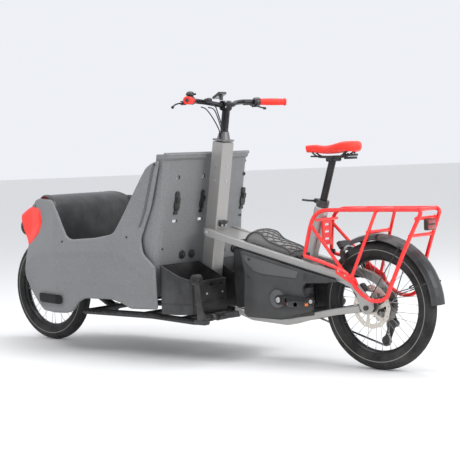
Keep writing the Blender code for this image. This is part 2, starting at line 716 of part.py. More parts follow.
def make_saddle(finishes, post_top, slide):
    """A sport saddle: a long nose that widens to the tail."""
    sections = ((-0.142, 0.016, 0.030, 0.020), (-0.120, 0.024, 0.038, 0.030),
                (-0.070, 0.027, 0.044, 0.030), (-0.010, 0.038, 0.046, 0.034),
                (0.045, 0.060, 0.052, 0.036), (0.095, 0.074, 0.062, 0.034),
                (0.128, 0.066, 0.066, 0.030))
    bm = bmesh.new()
    rings = []
    for along, half, top, deep in sections:
        ring = []
        for across, up in ((-1.0, -1.0), (-0.92, -0.35), (-0.55, -0.04), (0.0, 0.0),
                           (0.55, -0.04), (0.92, -0.35), (1.0, -1.0), (0.0, -0.62)):
            ring.append(bm.verts.new((along, half * across, top + deep * up)))
        rings.append(ring)
    for first, second in zip(rings, rings[1:]):
        for number in range(8):
            after = (number + 1) % 8
            bm.faces.new((first[number], first[after], second[after], second[number]))
    bm.faces.new(rings[0])
    bm.faces.new(rings[-1])
    bmesh.ops.triangulate(bm, faces=bm.faces)
    shape = mesh_object("saddle", bm)
    shape.data.transform(Matrix.Translation(post_top + Vector((0.006, 0, 0.012))))
    place("saddle", shape, finishes["red_rubber"], slide)


# ---------------------------------------------------------------- cargo box
def side_outline():
    """The side panel's edge, from the nose round the bottom and over the pillar."""
    front = [(-0.915, 0.718), (-0.952, 0.684), (-0.862, 0.668), (-0.846, 0.600), (-0.864, 0.554),
             (-0.920, 0.520), (-0.972, 0.500), (-0.957, 0.442),
             (-0.929, 0.403), (-0.916, 0.347), (-0.870, 0.281), (-0.804, 0.222), (-0.759, 0.191)]
    bottom = [(-0.664, 0.187), (-0.554, 0.191), (-0.505, 0.207), (-0.472, 0.246), (-0.424, 0.267),
              (-0.249, 0.269), (-0.176, 0.252), (-0.134, 0.231)]
    rear = [(0.036, 0.236), (0.040, 0.425), (0.010, 0.452), (-0.030, 0.485), (-0.047, 0.545),
            (-0.022, 0.610), (0.011, 0.693), (0.072, 0.892)]
    over = [(0.030, 0.884), (-0.012, 0.862), (-0.052, 0.812), (-0.142, 0.689), (-0.206, 0.592),
            (-0.222, 0.574), (-0.245, 0.564), (-0.344, 0.549), (-0.499, 0.540), (-0.530, 0.553),
            (-0.558, 0.594), (-0.612, 0.680), (-0.645, 0.715), (-0.675, 0.724), (-0.857, 0.729)]
    points = front + bottom + rear + over
    return [(station(x), z) for x, z in points]


PANEL_X_CUTS = (-0.86, -0.74, -0.62, -0.50)
PANEL_Z_CUTS = (0.35, 0.41, 0.47, 0.60)


def make_side_panels(finishes):
    x_cuts = [station(x) for x in PANEL_X_CUTS]
    for side, word in ((-1, "left"), (1, "right")):
        skin = curved_panel(side_outline(), x_cuts, PANEL_Z_CUTS, side)
        place(f"side_panel_{word}", thickened(skin, BOX_WALL), finishes["box_grey"])


def cheek_front(z):
    """How far ahead of the wall's rear face its side cheeks reach."""
    return 0.055 + 0.070 * min(1.0, max(0.0, (0.90 - z) / 0.35))


def wall_plan(z, swell):
    """Plan of the back wall at one height, from the left cheek to the right."""
    rear = wall_x(z) + swell
    front = wall_x(z) - cheek_front(z)
    clear = half_width(rear, min(z, PILLAR_TOP)) - BOX_WALL - 0.0055
    half = min(CHEEK_HALF_WIDTH, clear) + swell * 0.2
    corner = 0.036
    left = [(front, -half)]
    for number in range(4):
        angle = math.radians(-90 + 30 * number)
        left.append((rear - corner + corner * math.cos(angle), -half + corner + corner * math.sin(angle)))
    right = [(x, -y) for x, y in left[::-1]]
    return left + right


def make_back_wall(finishes):
    """Upright wall behind the load, wrapped forward at its sides, with a rolled lip."""
    levels = [(0.292, 0.0), (0.450, 0.0), (0.560, 0.0), (0.720, 0.0), (BACK_WALL_TOP - 0.030, 0.0),
              (BACK_WALL_TOP - 0.020, 0.011), (BACK_WALL_TOP - 0.003, 0.013), (BACK_WALL_TOP, 0.009)]
    bm = bmesh.new()
    rows = []
    for z, swell in levels:
        rows.append([bm.verts.new((x, y, z)) for x, y in wall_plan(z, swell)])
    for lower, upper in zip(rows, rows[1:]):
        for number in range(len(lower) - 1):
            bm.faces.new((lower[number], lower[number + 1], upper[number + 1], upper[number]))
    mesh = bpy.data.meshes.new("wall")
    bm.to_mesh(mesh)
    bm.free()
    skin = bpy.data.objects.new("wall", mesh)
    GUIDES.objects.link(skin)
    wall = thickened(skin, BACK_WALL_THICKNESS)
    cutters = []
    for y in STRAP_PLACES:
        for z, wide, tall in ((0.814, 0.024, 0.014), (0.620, 0.034, 0.012)):
            cutters.append(block((0.10, wide, tall), (wall_x(z), y, z)))
    place("back_wall", cut(wall, *cutters), finishes["box_grey"])


STRAP_PLACES = (-0.194, -0.024, 0.093, 0.263)


def make_box_floor(finishes):
    rear = wall_x(0.285) - BACK_WALL_THICKNESS - 0.004
    front = station(-0.640)
    floor = block((rear - front, 2 * (BOX_HALF_WIDTH - 0.046), 0.012),
                  ((rear + front) / 2, 0, 0.278), None, 0.003)
    place("floor_panel", floor, finishes["black"])


def sheet_half(x, z):
    return half_width(x, z) - BOX_WALL - 0.010


def make_front_wall(finishes):
    """Bent sheet: over the top of the nose, round a roll and down to the floor."""
    path = [(-0.868, 0.716), (-0.840, 0.732), (-0.790, 0.742), (-0.735, 0.738), (-0.690, 0.716),
            (-0.664, 0.680), (-0.652, 0.630), (-0.644, 0.560), (-0.638, 0.460), (-0.636, 0.300)]
    bm = bmesh.new()
    rows = []
    for x, z in path:
        x = station(x)
        half = min(sheet_half(x, z), sheet_half(x, 0.47))
        rows.append([bm.verts.new((x, half * share, z)) for share in (-1, 0, 1)])
    for first, second in zip(rows, rows[1:]):
        for number in range(2):
            bm.faces.new((first[number], first[number + 1], second[number + 1], second[number]))
    skin = mesh_object("sheet", bm)
    place("front_wall", thickened(skin, 0.006, offset=1.0), finishes["black"])


def make_nose(finishes):
    """Red cover that wraps the prow, and the headlight in its middle."""
    lower = [(-0.842, 0.556), (-0.900, 0.520), (-0.958, 0.486), (-0.988, 0.504), (-1.004, 0.520)]
    middle = [(-0.818, 0.600), (-0.885, 0.600), (-0.950, 0.600), (-1.010, 0.596), (-1.048, 0.592)]
    upper = [(-0.840, 0.688), (-0.895, 0.692), (-0.940, 0.694), (-1.015, 0.676), (-1.066, 0.658)]
    proud = 0.0085
    bm = bmesh.new()
    rows = []
    for line in (lower, middle, upper):
        left = []
        for x, z in line:
            x = station(x)
            left.append((x, -(half_width(x, z) + proud), z))
        tip_x = left[-1][0] - 0.052
        tip_z = max(left[-1][2], AXLE_Z + WHEEL_RADIUS + 0.016)
        tip = [(tip_x + 0.008, -0.048, tip_z), (tip_x, 0.0, tip_z)]
        right = [(x, -y, z) for x, y, z in (left + tip[:1])[::-1]]
        rows.append([bm.verts.new(spot) for spot in left + tip + right])
    for first, second in zip(rows, rows[1:]):
        for number in range(len(first) - 1):
            bm.faces.new((first[number], first[number + 1], second[number + 1], second[number]))
    bmesh.ops.triangulate(bm, faces=bm.faces)
    skin = mesh_object("nose", bm)
    outward = sum(face.normal.x * face.area for face in skin.data.polygons)
    if outward > 0:
        skin.data.flip_normals()
    cover = thickened(skin, 0.004)
    lamp_z = 0.577
    lamp_x = station(-1.118)
    hole = rod((lamp_x - 0.06, 0, lamp_z), (lamp_x + 0.12, 0, lamp_z), 0.0385, 24)
    place("nose_cover", cut(cover, hole), finishes["red_rubber"])
    lamp = turned([(0.0, -0.055), (0.040, -0.053), (0.0475, -0.046), (0.0475, -0.020),
                   (0.0375, -0.012), (0.0375, 0.040), (0.026, 0.055), (0.0, 0.058)][::-1],
                  (lamp_x, 0, lamp_z), axis="X", steps=28, closed=False)
    place("headlight", lamp, finishes["black"])


def make_bench(finishes):
    """Folding bench board, hinged on the back wall."""
    hinge_x = wall_x(0.500) - BACK_WALL_THICKNESS - 0.016
    hinge_z = 0.492
    axis = pivot("bench_axis", (hinge_x, 0, hinge_z))
    depth = 0.235
    board = block((depth, 0.520, 0.018), (hinge_x - depth / 2 - 0.004, 0, hinge_z), None, 0.006)
    barrel = rod((hinge_x, -0.240, hinge_z), (hinge_x, 0.240, hinge_z), 0.009, 12)
    place("bench_seat", joined(board, barrel), finishes["dark_grey"], axis)


# ---------------------------------------------------------------- bins and column fittings
def make_bins(finishes):
    """Open bins behind the wall, one each side of the column."""
    front = 0.050
    rear = 0.212
    inner = 0.050
    outer = 0.300
    corner = 0.080
    floor_z = 0.216
    plan = [(front, inner), (rear, inner)] + arc((rear - corner, outer - corner), corner, 0, 90, 6)
    plan.append((front, outer))
    for side, word in ((-1, "left"), (1, "right")):
        bm = bmesh.new()
        low = [bm.verts.new((x, side * y, floor_z)) for x, y in plan]
        high = []
        for x, y in plan:
            drop = 0.075 * (x - front) / (rear - front)
            high.append(bm.verts.new((x, side * y, 0.432 - drop)))
        count = len(plan)
        for number in range(count):
            after = (number + 1) % count
            bm.faces.new((low[number], low[after], high[after], high[number]))
        bm.faces.new(low)
        bmesh.ops.triangulate(bm, faces=bm.faces)
        skin = mesh_object("bin", bm)
        down = min(skin.data.polygons, key=lambda face: face.center.z).normal.z
        if down > 0:
            skin.data.flip_normals()
        shell = thickened(skin, 0.004)
        slots = [block((0.05, 0.030, 0.010), (rear, side * y, 0.338)) for y in (0.085, 0.150)]
        place(f"storage_bin_{word}", cut(shell, *slots), finishes["black"])


def make_stand(finishes):
    """Two-legged stand, folded up against the bins, with ribbed feet."""
    pivot_x, pivot_z = STAND_PIVOT
    axis = pivot("kickstand_axis", (pivot_x, 0, pivot_z))
    lean = math.radians(7)
    foot = Vector((pivot_x - STAND_LEG * math.sin(lean), 0, pivot_z + STAND_LEG * math.cos(lean)))
    half = STAND_HALF_WIDTH
    shaft = rod((pivot_x, -half - 0.012, pivot_z), (pivot_x, half + 0.012, pivot_z), STAND_SHAFT_RADIUS, 16)
    pieces = []
    for side in (-1, 1):
        y = side * half
        low = Vector((pivot_x, y, pivot_z))
        high = Vector((foot.x, y, foot.z))
        pieces.append(rod(low, high, 0.0150, 12, 0.0110))
        pieces.append(rod(high - Vector((0, 0.0145, 0)), high + Vector((0, 0.0145, 0)),
                          STAND_ROLLER_RADIUS, 16))
        pieces.append(block((0.070, 0.036, 0.020), low + Vector((0.002, side * 0.002, -0.014)),
                            None, 0.006))
        pieces.append(block((0.036, 0.030, 0.050), low + Vector((-0.002, 0, 0.006)), None, 0.008))
    place("kickstand", joined(shaft, *pieces), finishes["black"], axis)


# ---------------------------------------------------------------- drive
def make_motor_covers(finishes):
    outline = [(0.362, 0.487), (0.383, 0.386), (0.378, 0.300), (0.372, 0.216), (0.388, 0.200),
               (0.560, 0.2045), (0.612, 0.212), (0.735, 0.240), (0.745, 0.262), (0.700, 0.300),
               (0.690, 0.340), (0.706, 0.358), (0.820, 0.362), (0.875, 0.372), (0.820, 0.382),
               (0.684, 0.412), (0.385, 0.484)]
    outline = [(station(x), z) for x, z in outline]
    hollow = outline[:12] + outline[15:]
    crank = (station(CRANK_X), CRANK_Z)
    base = RAIL_OUTER + 0.0015
    cover = flat(outline, -base - 0.012, -base)
    crown = flat(offset_inward(outline, 0.007), -base - 0.020, -base - 0.004)
    dish = flat(offset_inward(hollow, 0.010), -base - 0.017, -base + 0.004)
    window = flat(arc(crank, 0.030, 0, 345, 23), -base - 0.03, -base + 0.01)
    left = cut(joined(cover, crown), dish, window)
    right = mirrored(left)
    place("motor_cover_left", left, finishes["dark_grey"])
    place("motor_cover_right", right, finishes["dark_grey"])


def offset_inward(outline, distance):
    """A closed outline moved inward by an even distance."""
    count = len(outline)
    area = sum(outline[i][0] * outline[(i + 1) % count][1] - outline[(i + 1) % count][0] * outline[i][1]
               for i in range(count))
    turn = 1 if area > 0 else -1
    moved = []
    for number in range(count):
        here = Vector(outline[number])
        before = (here - Vector(outline[number - 1])).normalized()
        after = (Vector(outline[(number + 1) % count]) - here).normalized()
        normal = Vector((-(before + after).y, (before + after).x)).normalized() * turn
        stretch = max(0.5, abs(normal.dot(Vector((-before.y, before.x)))))
        moved.append(tuple(here + normal * distance / stretch))
    return moved


def make_motor(finishes):
    crank_x = station(CRANK_X)
    half = 0.060
    body = block((0.190, 2 * half, 0.130), (crank_x - 0.035, 0, CRANK_Z + 0.004), None, 0.030, 2)
    nose = rod((crank_x, -half - 0.012, CRANK_Z), (crank_x, half * 0.6, CRANK_Z), 0.026, 24)
    bore = rod((crank_x, -0.2, CRANK_Z), (crank_x, 0.2, CRANK_Z), SPINDLE_RADIUS + RUNNING_GAP, 20)
    relief = rod((crank_x, half * 0.62, CRANK_Z), (crank_x, half * 1.2, CRANK_Z),
                 CHAINRING_RADIUS + 0.016, 32)
    shell = cut(joined(body, nose), bore, relief)
    place("drive_motor", shell, finishes["black"])
    battery = block((0.086, 0.092, 0.270), (0.300, 0, 0.362), None, 0.010, 2)
    place("battery", battery, finishes["black"])


def make_cranks(finishes):
    crank_x = station(CRANK_X)
    axis = pivot("crank_axis", (crank_x, 0, CRANK_Z))
    inner = RAIL_OUTER + 0.026
    outer = inner + 0.014
    spindle = rod((crank_x, -inner - 0.002, CRANK_Z), (crank_x, inner + 0.008, CRANK_Z), SPINDLE_RADIUS, 20)
    arms = []
    for side in (-1, 1):
        reach = -side * CRANK_LENGTH
        low, high = sorted((side * inner, side * outer))
        if side > 0:
            hub = arc((crank_x, CRANK_Z), 0.021, -90, 90, 8)
            toe = arc((crank_x + reach, CRANK_Z), 0.0145, 90, 270, 6)
        else:
            hub = arc((crank_x, CRANK_Z), 0.021, 90, 270, 8)
            toe = arc((crank_x + reach, CRANK_Z), 0.0145, -90, 90, 6)
        arms.append(bevelled(flat(hub + toe, low, high), 0.003, angle=50))
    place("crank_arm_left", joined(arms[0], spindle), finishes["black"], axis)
    ring_half = 0.0020
    ring = turned([(0.0, CHAIN_LINE - 0.004), (CHAINRING_RADIUS, CHAIN_LINE - ring_half),
                   (CHAINRING_RADIUS, CHAIN_LINE + ring_half), (0.028, CHAIN_LINE + 0.006),
                   (0.019, inner + 0.003), (0.0, inner + 0.003)][::-1], (crank_x, 0, CRANK_Z),
                  steps=24, closed=False)
    socket = rod((crank_x, 0, CRANK_Z), (crank_x, inner + 0.0084, CRANK_Z), SPINDLE_RADIUS + GAP, 20)
    right = cut(joined(arms[1], ring), socket)
    place("crank_arm_right", right, finishes["black"], axis)
    for side, word in ((-1, "left"), (1, "right")):
        make_pedal(f"pedal_{word}", crank_x - side * CRANK_LENGTH, side, outer, finishes, axis)


def make_pedal(name, x, side, crank_outer, finishes, axis):
    turn = pivot(f"{name}_axis", (x, 0, CRANK_Z), axis)
    start = side * (crank_outer + 0.0006)
    stem = rod((x, start, CRANK_Z), (x, side * (crank_outer + 0.105), CRANK_Z), 0.0080, 12)
    middle = side * (crank_outer + 0.060)
    body = block((0.030, 0.088, 0.020), (x, middle, CRANK_Z), None, 0.004)
    pieces = [body]
    for along in (-0.040, 0.040):
        pieces.append(block((0.012, 0.092, 0.018), (x + along, middle, CRANK_Z), None, 0.003))
    for across in (-0.041, 0.041):
        pieces.append(block((0.088, 0.010, 0.016), (x, middle + across, CRANK_Z), None, 0.003))
    place(name, joined(stem, *pieces), finishes["black"], turn)


def chain_path():
    """Middle line of the chain, round ring, cog and both jockey wheels."""
    ring = Vector((station(CRANK_X), CRANK_Z))
    cog = Vector((REAR_AXLE_X, AXLE_Z))
    ring_radius = CHAINRING_RADIUS + CHAIN_PITCH_GAP
    cog_radius = COG_RADII[CHAIN_COG] + CHAIN_PITCH_GAP
    jockey_radius = JOCKEY_RADIUS + CHAIN_PITCH_GAP
    upper, lower = jockey_places()
    path = arc(ring, ring_radius, 275, 92, 12)
    path += arc(cog, cog_radius, 96, -75, 9)
    path += arc(upper, jockey_radius, 70, 200, 6)[::1]
    path += arc(lower, jockey_radius, 20, -100, 6)
    return path


def jockey_places():
    upper = (REAR_AXLE_X + 0.024, AXLE_Z - 0.084)
    lower = (REAR_AXLE_X - 0.004, AXLE_Z - 0.152)
    return upper, lower


def make_chain(finishes):
    y_low = CHAIN_LINE - 0.0038
    y_high = CHAIN_LINE + 0.0038
    path = chain_path()
    closed = path + [path[0]]
    outer = offset_path(closed, 0.0038)[:-1]
    inner = offset_path(closed, -0.0038)[:-1]
    shape = flat(outer, y_low, y_high, [inner])
    place("drive_chain", shape, finishes["dark_steel"])

    upper, lower = jockey_places()
    axis = pivot("derailleur_axis", (upper[0], CHAIN_LINE, upper[1]))
    plate_low = CHAIN_LINE + 0.0050
    outline = arc(upper, 0.016, -20, 160, 6) + arc(lower, 0.016, 160, 340, 6)
    cage = flat(outline, plate_low, plate_low + 0.003)
    wheels = []
    for x, z in (upper, lower):
        wheels.append(rod((x, CHAIN_LINE - 0.002, z), (x, plate_low + 0.001, z), JOCKEY_RADIUS, 16))
    knuckle = rod((upper[0], plate_low + 0.001, upper[1]), (upper[0], plate_low + 0.020, upper[1]),
                  0.014, 16)
    place("derailleur_cage", joined(cage, knuckle, *wheels), finishes["black"], axis)
    body = rod((upper[0], plate_low + 0.021, upper[1]), (upper[0], plate_low + 0.033, upper[1]), 0.015, 16)
    link = flat([(upper[0] - 0.010, upper[1]), (REAR_AXLE_X - 0.008, AXLE_Z - 0.030),
                 (REAR_AXLE_X + 0.014, AXLE_Z - 0.030), (upper[0] + 0.012, upper[1])],
                plate_low + 0.024, plate_low + 0.032)
    place("derailleur_body", joined(body, link), finishes["black"])


def make_pouch(finishes):
    """Soft pouch that lies between the upper rails, over the battery."""
    top = [(0.345, 0.546), (0.372, 0.566), (0.400, 0.574), (0.432, 0.566), (0.470, 0.536),
           (0.550, 0.510), (0.590, 0.492)]
    under = [(0.590, 0.456), (0.345, 0.513)]
    outline = [(station(x), z) for x, z in top + under]
    pouch = bevelled(flat(outline, -0.060, 0.060), 0.008, angle=60)
    place("net_pouch", pouch, finishes["dark_grey"])


# ---------------------------------------------------------------- rear rack and mudguard
def make_rack(finishes):
    """Welded rack: two side frames, three cross hoops and the shoes at the rails."""
    top_z = 0.660
    rear_x = station(RACK_REAR_X)
    pieces = []
    low_half = 0.112
    foot = (0.692, 0.468)

    def side_y(z):
        share = min(1.0, max(0.0, (top_z - z) / (top_z - 0.36)))
        return RACK_TOP_HALF + (low_half - RACK_TOP_HALF) * share

    for side in (-1, 1):
        def at(x, z):
            return (station(x), side * side_y(z), z)
        main = [at(*foot), at(0.716, 0.598), at(0.733, 0.634), at(0.768, 0.656), at(0.830, top_z)]
        main.append((rear_x - 0.020, side * side_y(top_z), top_z))
        pieces.append(pipe(main, RACK_TUBE, rounds=1))
        lower = [at(*foot), at(0.870, 0.418), at(0.922, 0.398), at(0.962, 0.345), at(0.992, 0.312)]
        pieces.append(pipe(lower, RACK_TUBE, rounds=1))
        pieces.append(pipe([at(0.716, 0.598), at(0.905, 0.400)], RACK_TUBE, rounds=1))
        pieces.append(pipe([at(1.040, top_z), at(0.934, 0.386)], RACK_TUBE, rounds=1))
        loop = [at(1.240, top_z), at(1.120, 0.348), at(1.106, 0.318), at(1.082, 0.302), at(1.052, 0.297),
                at(1.020, 0.302), at(0.992, 0.318)]
        pieces.append(pipe(loop, RACK_TUBE, rounds=1))
        pieces.append(pipe([at(1.000, 0.322), at(1.112, 0.340)], RACK_TUBE * 0.9, rounds=1))
    back_half = side_y(top_z)
    hoop = [(rear_x - 0.020, -back_half, top_z), (rear_x - 0.006, -back_half + 0.010, top_z),
            (rear_x, -back_half + 0.025, top_z), (rear_x, back_half - 0.025, top_z),
            (rear_x - 0.006, back_half - 0.010, top_z), (rear_x - 0.020, back_half, top_z)]
    pieces.append(pipe(hoop, RACK_TUBE, rounds=1))
    for x, z in ((0.905, top_z), (1.040, top_z), (1.240, top_z), (1.001, 0.5695), (1.200, 0.556),
                 (1.226, 0.624)):
        half = side_y(z)
        pieces.append(rod((station(x), -half, z), (station(x), half, z), RACK_TUBE * 0.85, 8))
    half = side_y(foot[1])
    pieces.append(rod((station(foot[0]), -half, foot[1]), (station(foot[0]), half, foot[1]),
                      RACK_TUBE * 0.85, 8))
    place("rear_rack", joined(*pieces), finishes["red_paint"])


def guard_profile(radius, drop):
    """Section of the mudguard: (radius, place across) from edge to edge."""
    half = MUDGUARD_HALF_WIDTH
    return [(radius - drop, -half), (radius - drop * 0.25, -half * 0.72), (radius, -half * 0.30),
            (radius, half * 0.30), (radius - drop * 0.25, half * 0.72), (radius - drop, half)]


def make_mudguard(finishes):
    bm = bmesh.new()
    rows = []
    start, end = MUDGUARD_ENDS
    steps = 16
    for number in range(steps + 1):
        angle = math.radians(start + (end - start) * number / steps)
        row = []
        for radius, across in guard_profile(GUARD_RADIUS, MUDGUARD_DROP):
            row.append(bm.verts.new((REAR_AXLE_X + radius * math.cos(angle), across,
                                     AXLE_Z + radius * math.sin(angle))))
        rows.append(row)
    for first, second in zip(rows, rows[1:]):
        for number in range(len(first) - 1):
            bm.faces.new((first[number], first[number + 1], second[number + 1], second[number]))
    skin = mesh_object("guard", bm)
    middle = skin.data.polygons[len(skin.data.polygons) // 2]
    if middle.normal.dot(middle.center - Vector((REAR_AXLE_X, 0, AXLE_Z))) < 0:
        skin.data.flip_normals()
    place("rear_mudguard", thickened(skin, MUDGUARD_WALL, offset=0.0), finishes["black"])


def make_rear_fittings(finishes):
    lamp_x = station(1.243)
    lamp = block((0.024, 0.062, 0.046), (lamp_x, 0, 0.598), None, 0.006, 2)
    place("tail_light", lamp, finishes["black"])

    make_ring_lock(finishes)
    make_caliper("rear_brake_caliper", REAR_AXLE_X, -0.0595, 128, finishes["black"], None)
    make_caliper("front_brake_caliper", FRONT_AXLE_X, -0.0405, 22, finishes["black"], STEER)


def make_ring_lock(finishes):
    """Horseshoe lock round the rear tyre, with its turning bolt."""
    around = math.radians(LOCK_PLACE)
    centre = Vector((REAR_AXLE_X + LOCK_CENTRE_RADIUS * math.cos(around), 0,
                     AXLE_Z + LOCK_CENTRE_RADIUS * math.sin(around)))
    outward = Vector((math.cos(around), 0, math.sin(around)))
    frame = Matrix((outward, Vector((0, 1, 0)), outward.cross(Vector((0, 1, 0))))).transposed()
    turn = Matrix.Translation(centre) @ frame.to_4x4()
    inner, outer = LOCK_RING
    thick = 0.010
    ring = turned([(inner, -thick), (outer, -thick), (outer, thick), (inner, thick)], (0, 0, 0), "Z", 28)
    gate = block((0.090, 0.086, 0.080), (-0.056, 0, 0))
    case = block((0.034, 0.078, 2 * thick), (outer + 0.008, 0.0, 0.0), None, 0.004)
    ring = joined(cut(ring, gate), case)
    ring.data.transform(turn)
    place("ring_lock", ring, finishes["black"])
    axis = pivot("lock_shackle_axis", centre)
    middle = (inner + outer) / 2
    first = arc((0, 0), middle + 0.0035, -52, 52, 8)
    second = arc((0, 0), middle - 0.0035, 52, -52, 8)
    bolt = flat(first + second, -0.0020, 0.0020)
    bolt.data.transform(Matrix.Rotation(-math.pi / 2, 4, "X"))
    bolt.data.transform(Matrix.Translation((0, 0, -thick - 0.0026)))
    knob = rod((middle * 0.64, middle * 0.77, -thick - 0.0010),
               (middle * 0.64, middle * 0.77, -thick - 0.014), 0.0060, 10)
    bolt = joined(bolt, knob)
    bolt.data.transform(turn)
    place("lock_shackle", bolt, finishes["steel"], axis)


def make_caliper(name, axle_x, rotor_y, degrees, finish, pivot_at):
    """Brake caliper that straddles the edge of its rotor."""
    angle = math.radians(degrees)
    reach = ROTOR_RADIUS - 0.006
    x = axle_x + reach * math.cos(angle)
    z = AXLE_Z + reach * math.sin(angle)
    body = block((0.062, 0.028, 0.036), (x, rotor_y, z), tilt_y(math.pi / 2 - angle), 0.005)
    slot = rod((axle_x, rotor_y - 0.0028, AXLE_Z), (axle_x, rotor_y + 0.0028, AXLE_Z),
               ROTOR_RADIUS + 0.0025, 40)
    place(name, cut(body, slot), finish, pivot_at)

# ---------------------------------------------------------------- handlebar
def bar_half_path():
    """Right half of the swept handlebar, from the clamp to its end."""
    x, z = column_x(BAR_HEIGHT) - 0.006, BAR_HEIGHT
    return [(x, 0.0, z), (x, 0.045, z), (x - 0.022, 0.095, z + 0.010), (x - 0.034, 0.150, z + 0.016),
            (x - 0.026, 0.185, z + 0.017), (x + 0.020, 0.255, z + 0.015),
            (x + 0.076, BAR_HALF_WIDTH, z + 0.012)]


def bar_spot(distance_from_end, side):
    """A place on the straight outer run of the bar and the way it runs outward."""
    path = bar_half_path()
    end = Vector(path[-1])
    start = Vector(path[-2])
    along = (end - start).normalized()
    spot = end - along * distance_from_end
    return Vector((spot.x, side * spot.y, spot.z)), Vector((along.x, side * along.y, along.z))


def make_handlebar(finishes):
    low = Vector((column_x(COLUMN_TOP - 0.12), 0, COLUMN_TOP - 0.12))
    high_z = BAR_HEIGHT - 0.020
    high = Vector((column_x(high_z), 0, high_z))
    half = bar_half_path()
    clamp = Vector(half[0])
    riser = rod(low, high, RISER_RADIUS + 0.0035, 20)
    stem_place = (clamp + high) / 2 + Vector((0, 0, 0.004))
    stem = block((0.044, 0.050, 0.040), stem_place, tilt_y(COLUMN_LEAN), 0.008)
    jaw = rod(clamp - Vector((0, 0.026, 0)), clamp + Vector((0, 0.026, 0)), 0.0190, 20)
    hole = rod(clamp - Vector((0, 0.05, 0)), clamp + Vector((0, 0.05, 0)), BAR_RADIUS + 0.0045 + GAP, 20)
    place("handlebar_riser", cut(joined(riser, stem, jaw), hole), finishes["black"], BARS)

    left = [(x, -y, z) for x, y, z in half[:0:-1]]
    bar = pipe(left + half, BAR_RADIUS, rounds=2)
    sleeve = rod(clamp - Vector((0, 0.042, 0)), clamp + Vector((0, 0.042, 0)), BAR_RADIUS + 0.0045, 20)
    place("handlebar", joined(bar, sleeve), finishes["black"], BARS)
    for side, word in ((-1, "left"), (1, "right")):
        make_grip(side, word, finishes)
        make_brake(side, word, finishes)
    tilt = tilt_y(math.radians(-28))
    face = clamp + Vector((-0.034, 0, 0.044))
    shell = block((0.050, 0.052, 0.012), face, tilt, 0.003)
    arm = block((0.012, 0.014, 0.024), face + Vector((0.010, 0, -0.010)), None, 0.001)
    place("display", joined(shell, arm), finishes["black"], BARS)
    make_cables(finishes)


def make_grip(side, word, finishes):
    outer, along = bar_spot(-0.003, side)
    inner, along = bar_spot(GRIP_LENGTH, side)
    grip = rod(inner, outer, GRIP_RADIUS, 20)
    hole = rod(inner - along * 0.02, bar_spot(-0.0006, side)[0], BAR_RADIUS + GAP, 16)
    place(f"grip_{word}", cut(grip, hole), finishes["red_rubber"], BARS)


def make_brake(side, word, finishes):
    """Brake lever clamp with its hinged lever blade."""
    spot, along = bar_spot(GRIP_LENGTH + 0.016, side)
    collar = rod(spot - along * 0.008, spot + along * 0.008, 0.0175, 16)
    reach = Vector((-0.030, 0, -0.006))
    body_mid = spot + reach * 0.85 - along * 0.012
    body = block((0.018, 0.062, 0.018), body_mid, Matrix.Rotation(side * -0.60, 3, "Z"), 0.004)
    hole = rod(spot - along * 0.05, spot + along * 0.05, BAR_RADIUS + GAP, 16)
    hinge = spot + Vector((-0.034, side * 0.018, -0.008))
    fork_gap = block((0.030, 0.026, 0.0092), hinge + Vector((0.0, side * 0.004, 0)))
    ears = block((0.020, 0.022, 0.018), hinge, None, 0.002)
    clampj = cut(joined(collar, body, ears), hole, fork_gap)
    place(f"brake_clamp_{word}", clampj, finishes["black"], BARS)
    axis = pivot(f"brake_lever_{word}_axis", hinge, BARS)
    tip = hinge + Vector((0.008, side * 0.078, -0.020))
    path = [hinge, hinge + Vector((-0.012, side * 0.018, -0.002)),
            hinge + Vector((-0.014, side * 0.036, -0.006)),
            hinge + Vector((-0.004, side * 0.060, -0.014)), tip]
    blade = pipe(path, 0.0036, rounds=1)
    ball = rod(tip - along * 0.006, tip + along * 0.006, 0.0062, 10)
    eye = rod(hinge - Vector((0, 0, 0.0041)), hinge + Vector((0, 0, 0.0041)), 0.0075, 12)
    place(f"brake_lever_{word}", joined(blade, ball, eye), finishes["black"], axis)


def make_cables(finishes):
    """Brake hose and wires from the left side of the bar into the column's head."""
    entry = Vector((column_x(COLUMN_TOP) - 0.026, -0.0475, COLUMN_TOP + 0.010))
    start = bar_spot(GRIP_LENGTH + 0.016, -1)[0] + Vector((-0.022, 0.058, -0.024))
    points = [start, start + Vector((0.020, 0.018, -0.016)), start + Vector((0.050, 0.050, -0.048)),
              start.lerp(entry, 0.62) + Vector((0.018, 0.014, -0.004)),
              entry + Vector((0.004, -0.010, 0.042)), entry]
    place("control_cables", pipe(smooth_path(points, 4), 0.0026), finishes["rubber"], BARS)


def smooth_path(points, between):
    """Points on a smooth curve through the given ones."""
    spots = [Vector(point) for point in points]
    padded = [spots[0]] + spots + [spots[-1]]
    made = []
    for first in range(len(spots) - 1):
        a, b, c, d = padded[first:first + 4]
        for number in range(between):
            t = number / between
            made.append(0.5 * (2 * b + (c - a) * t + (2 * a - 5 * b + 4 * c - d) * t * t
                               + (3 * b - a - 3 * c + d) * t ** 3))
    made.append(spots[-1])
    return [tuple(spot) for spot in made]


# ---------------------------------------------------------------- assembly
start_scene()
DATUM = bpy.data.objects.new("datum", None)
PARTS.objects.link(DATUM)
DATUM.location = (DATUM_SHIFT, 0, 0)
STEER = pivot("fork_axis", (head_x(HEAD_TUBE_LOW), 0, HEAD_TUBE_LOW))
BARS = pivot("handlebar_axis", (column_x(COLUMN_TOP), 0, COLUMN_TOP))


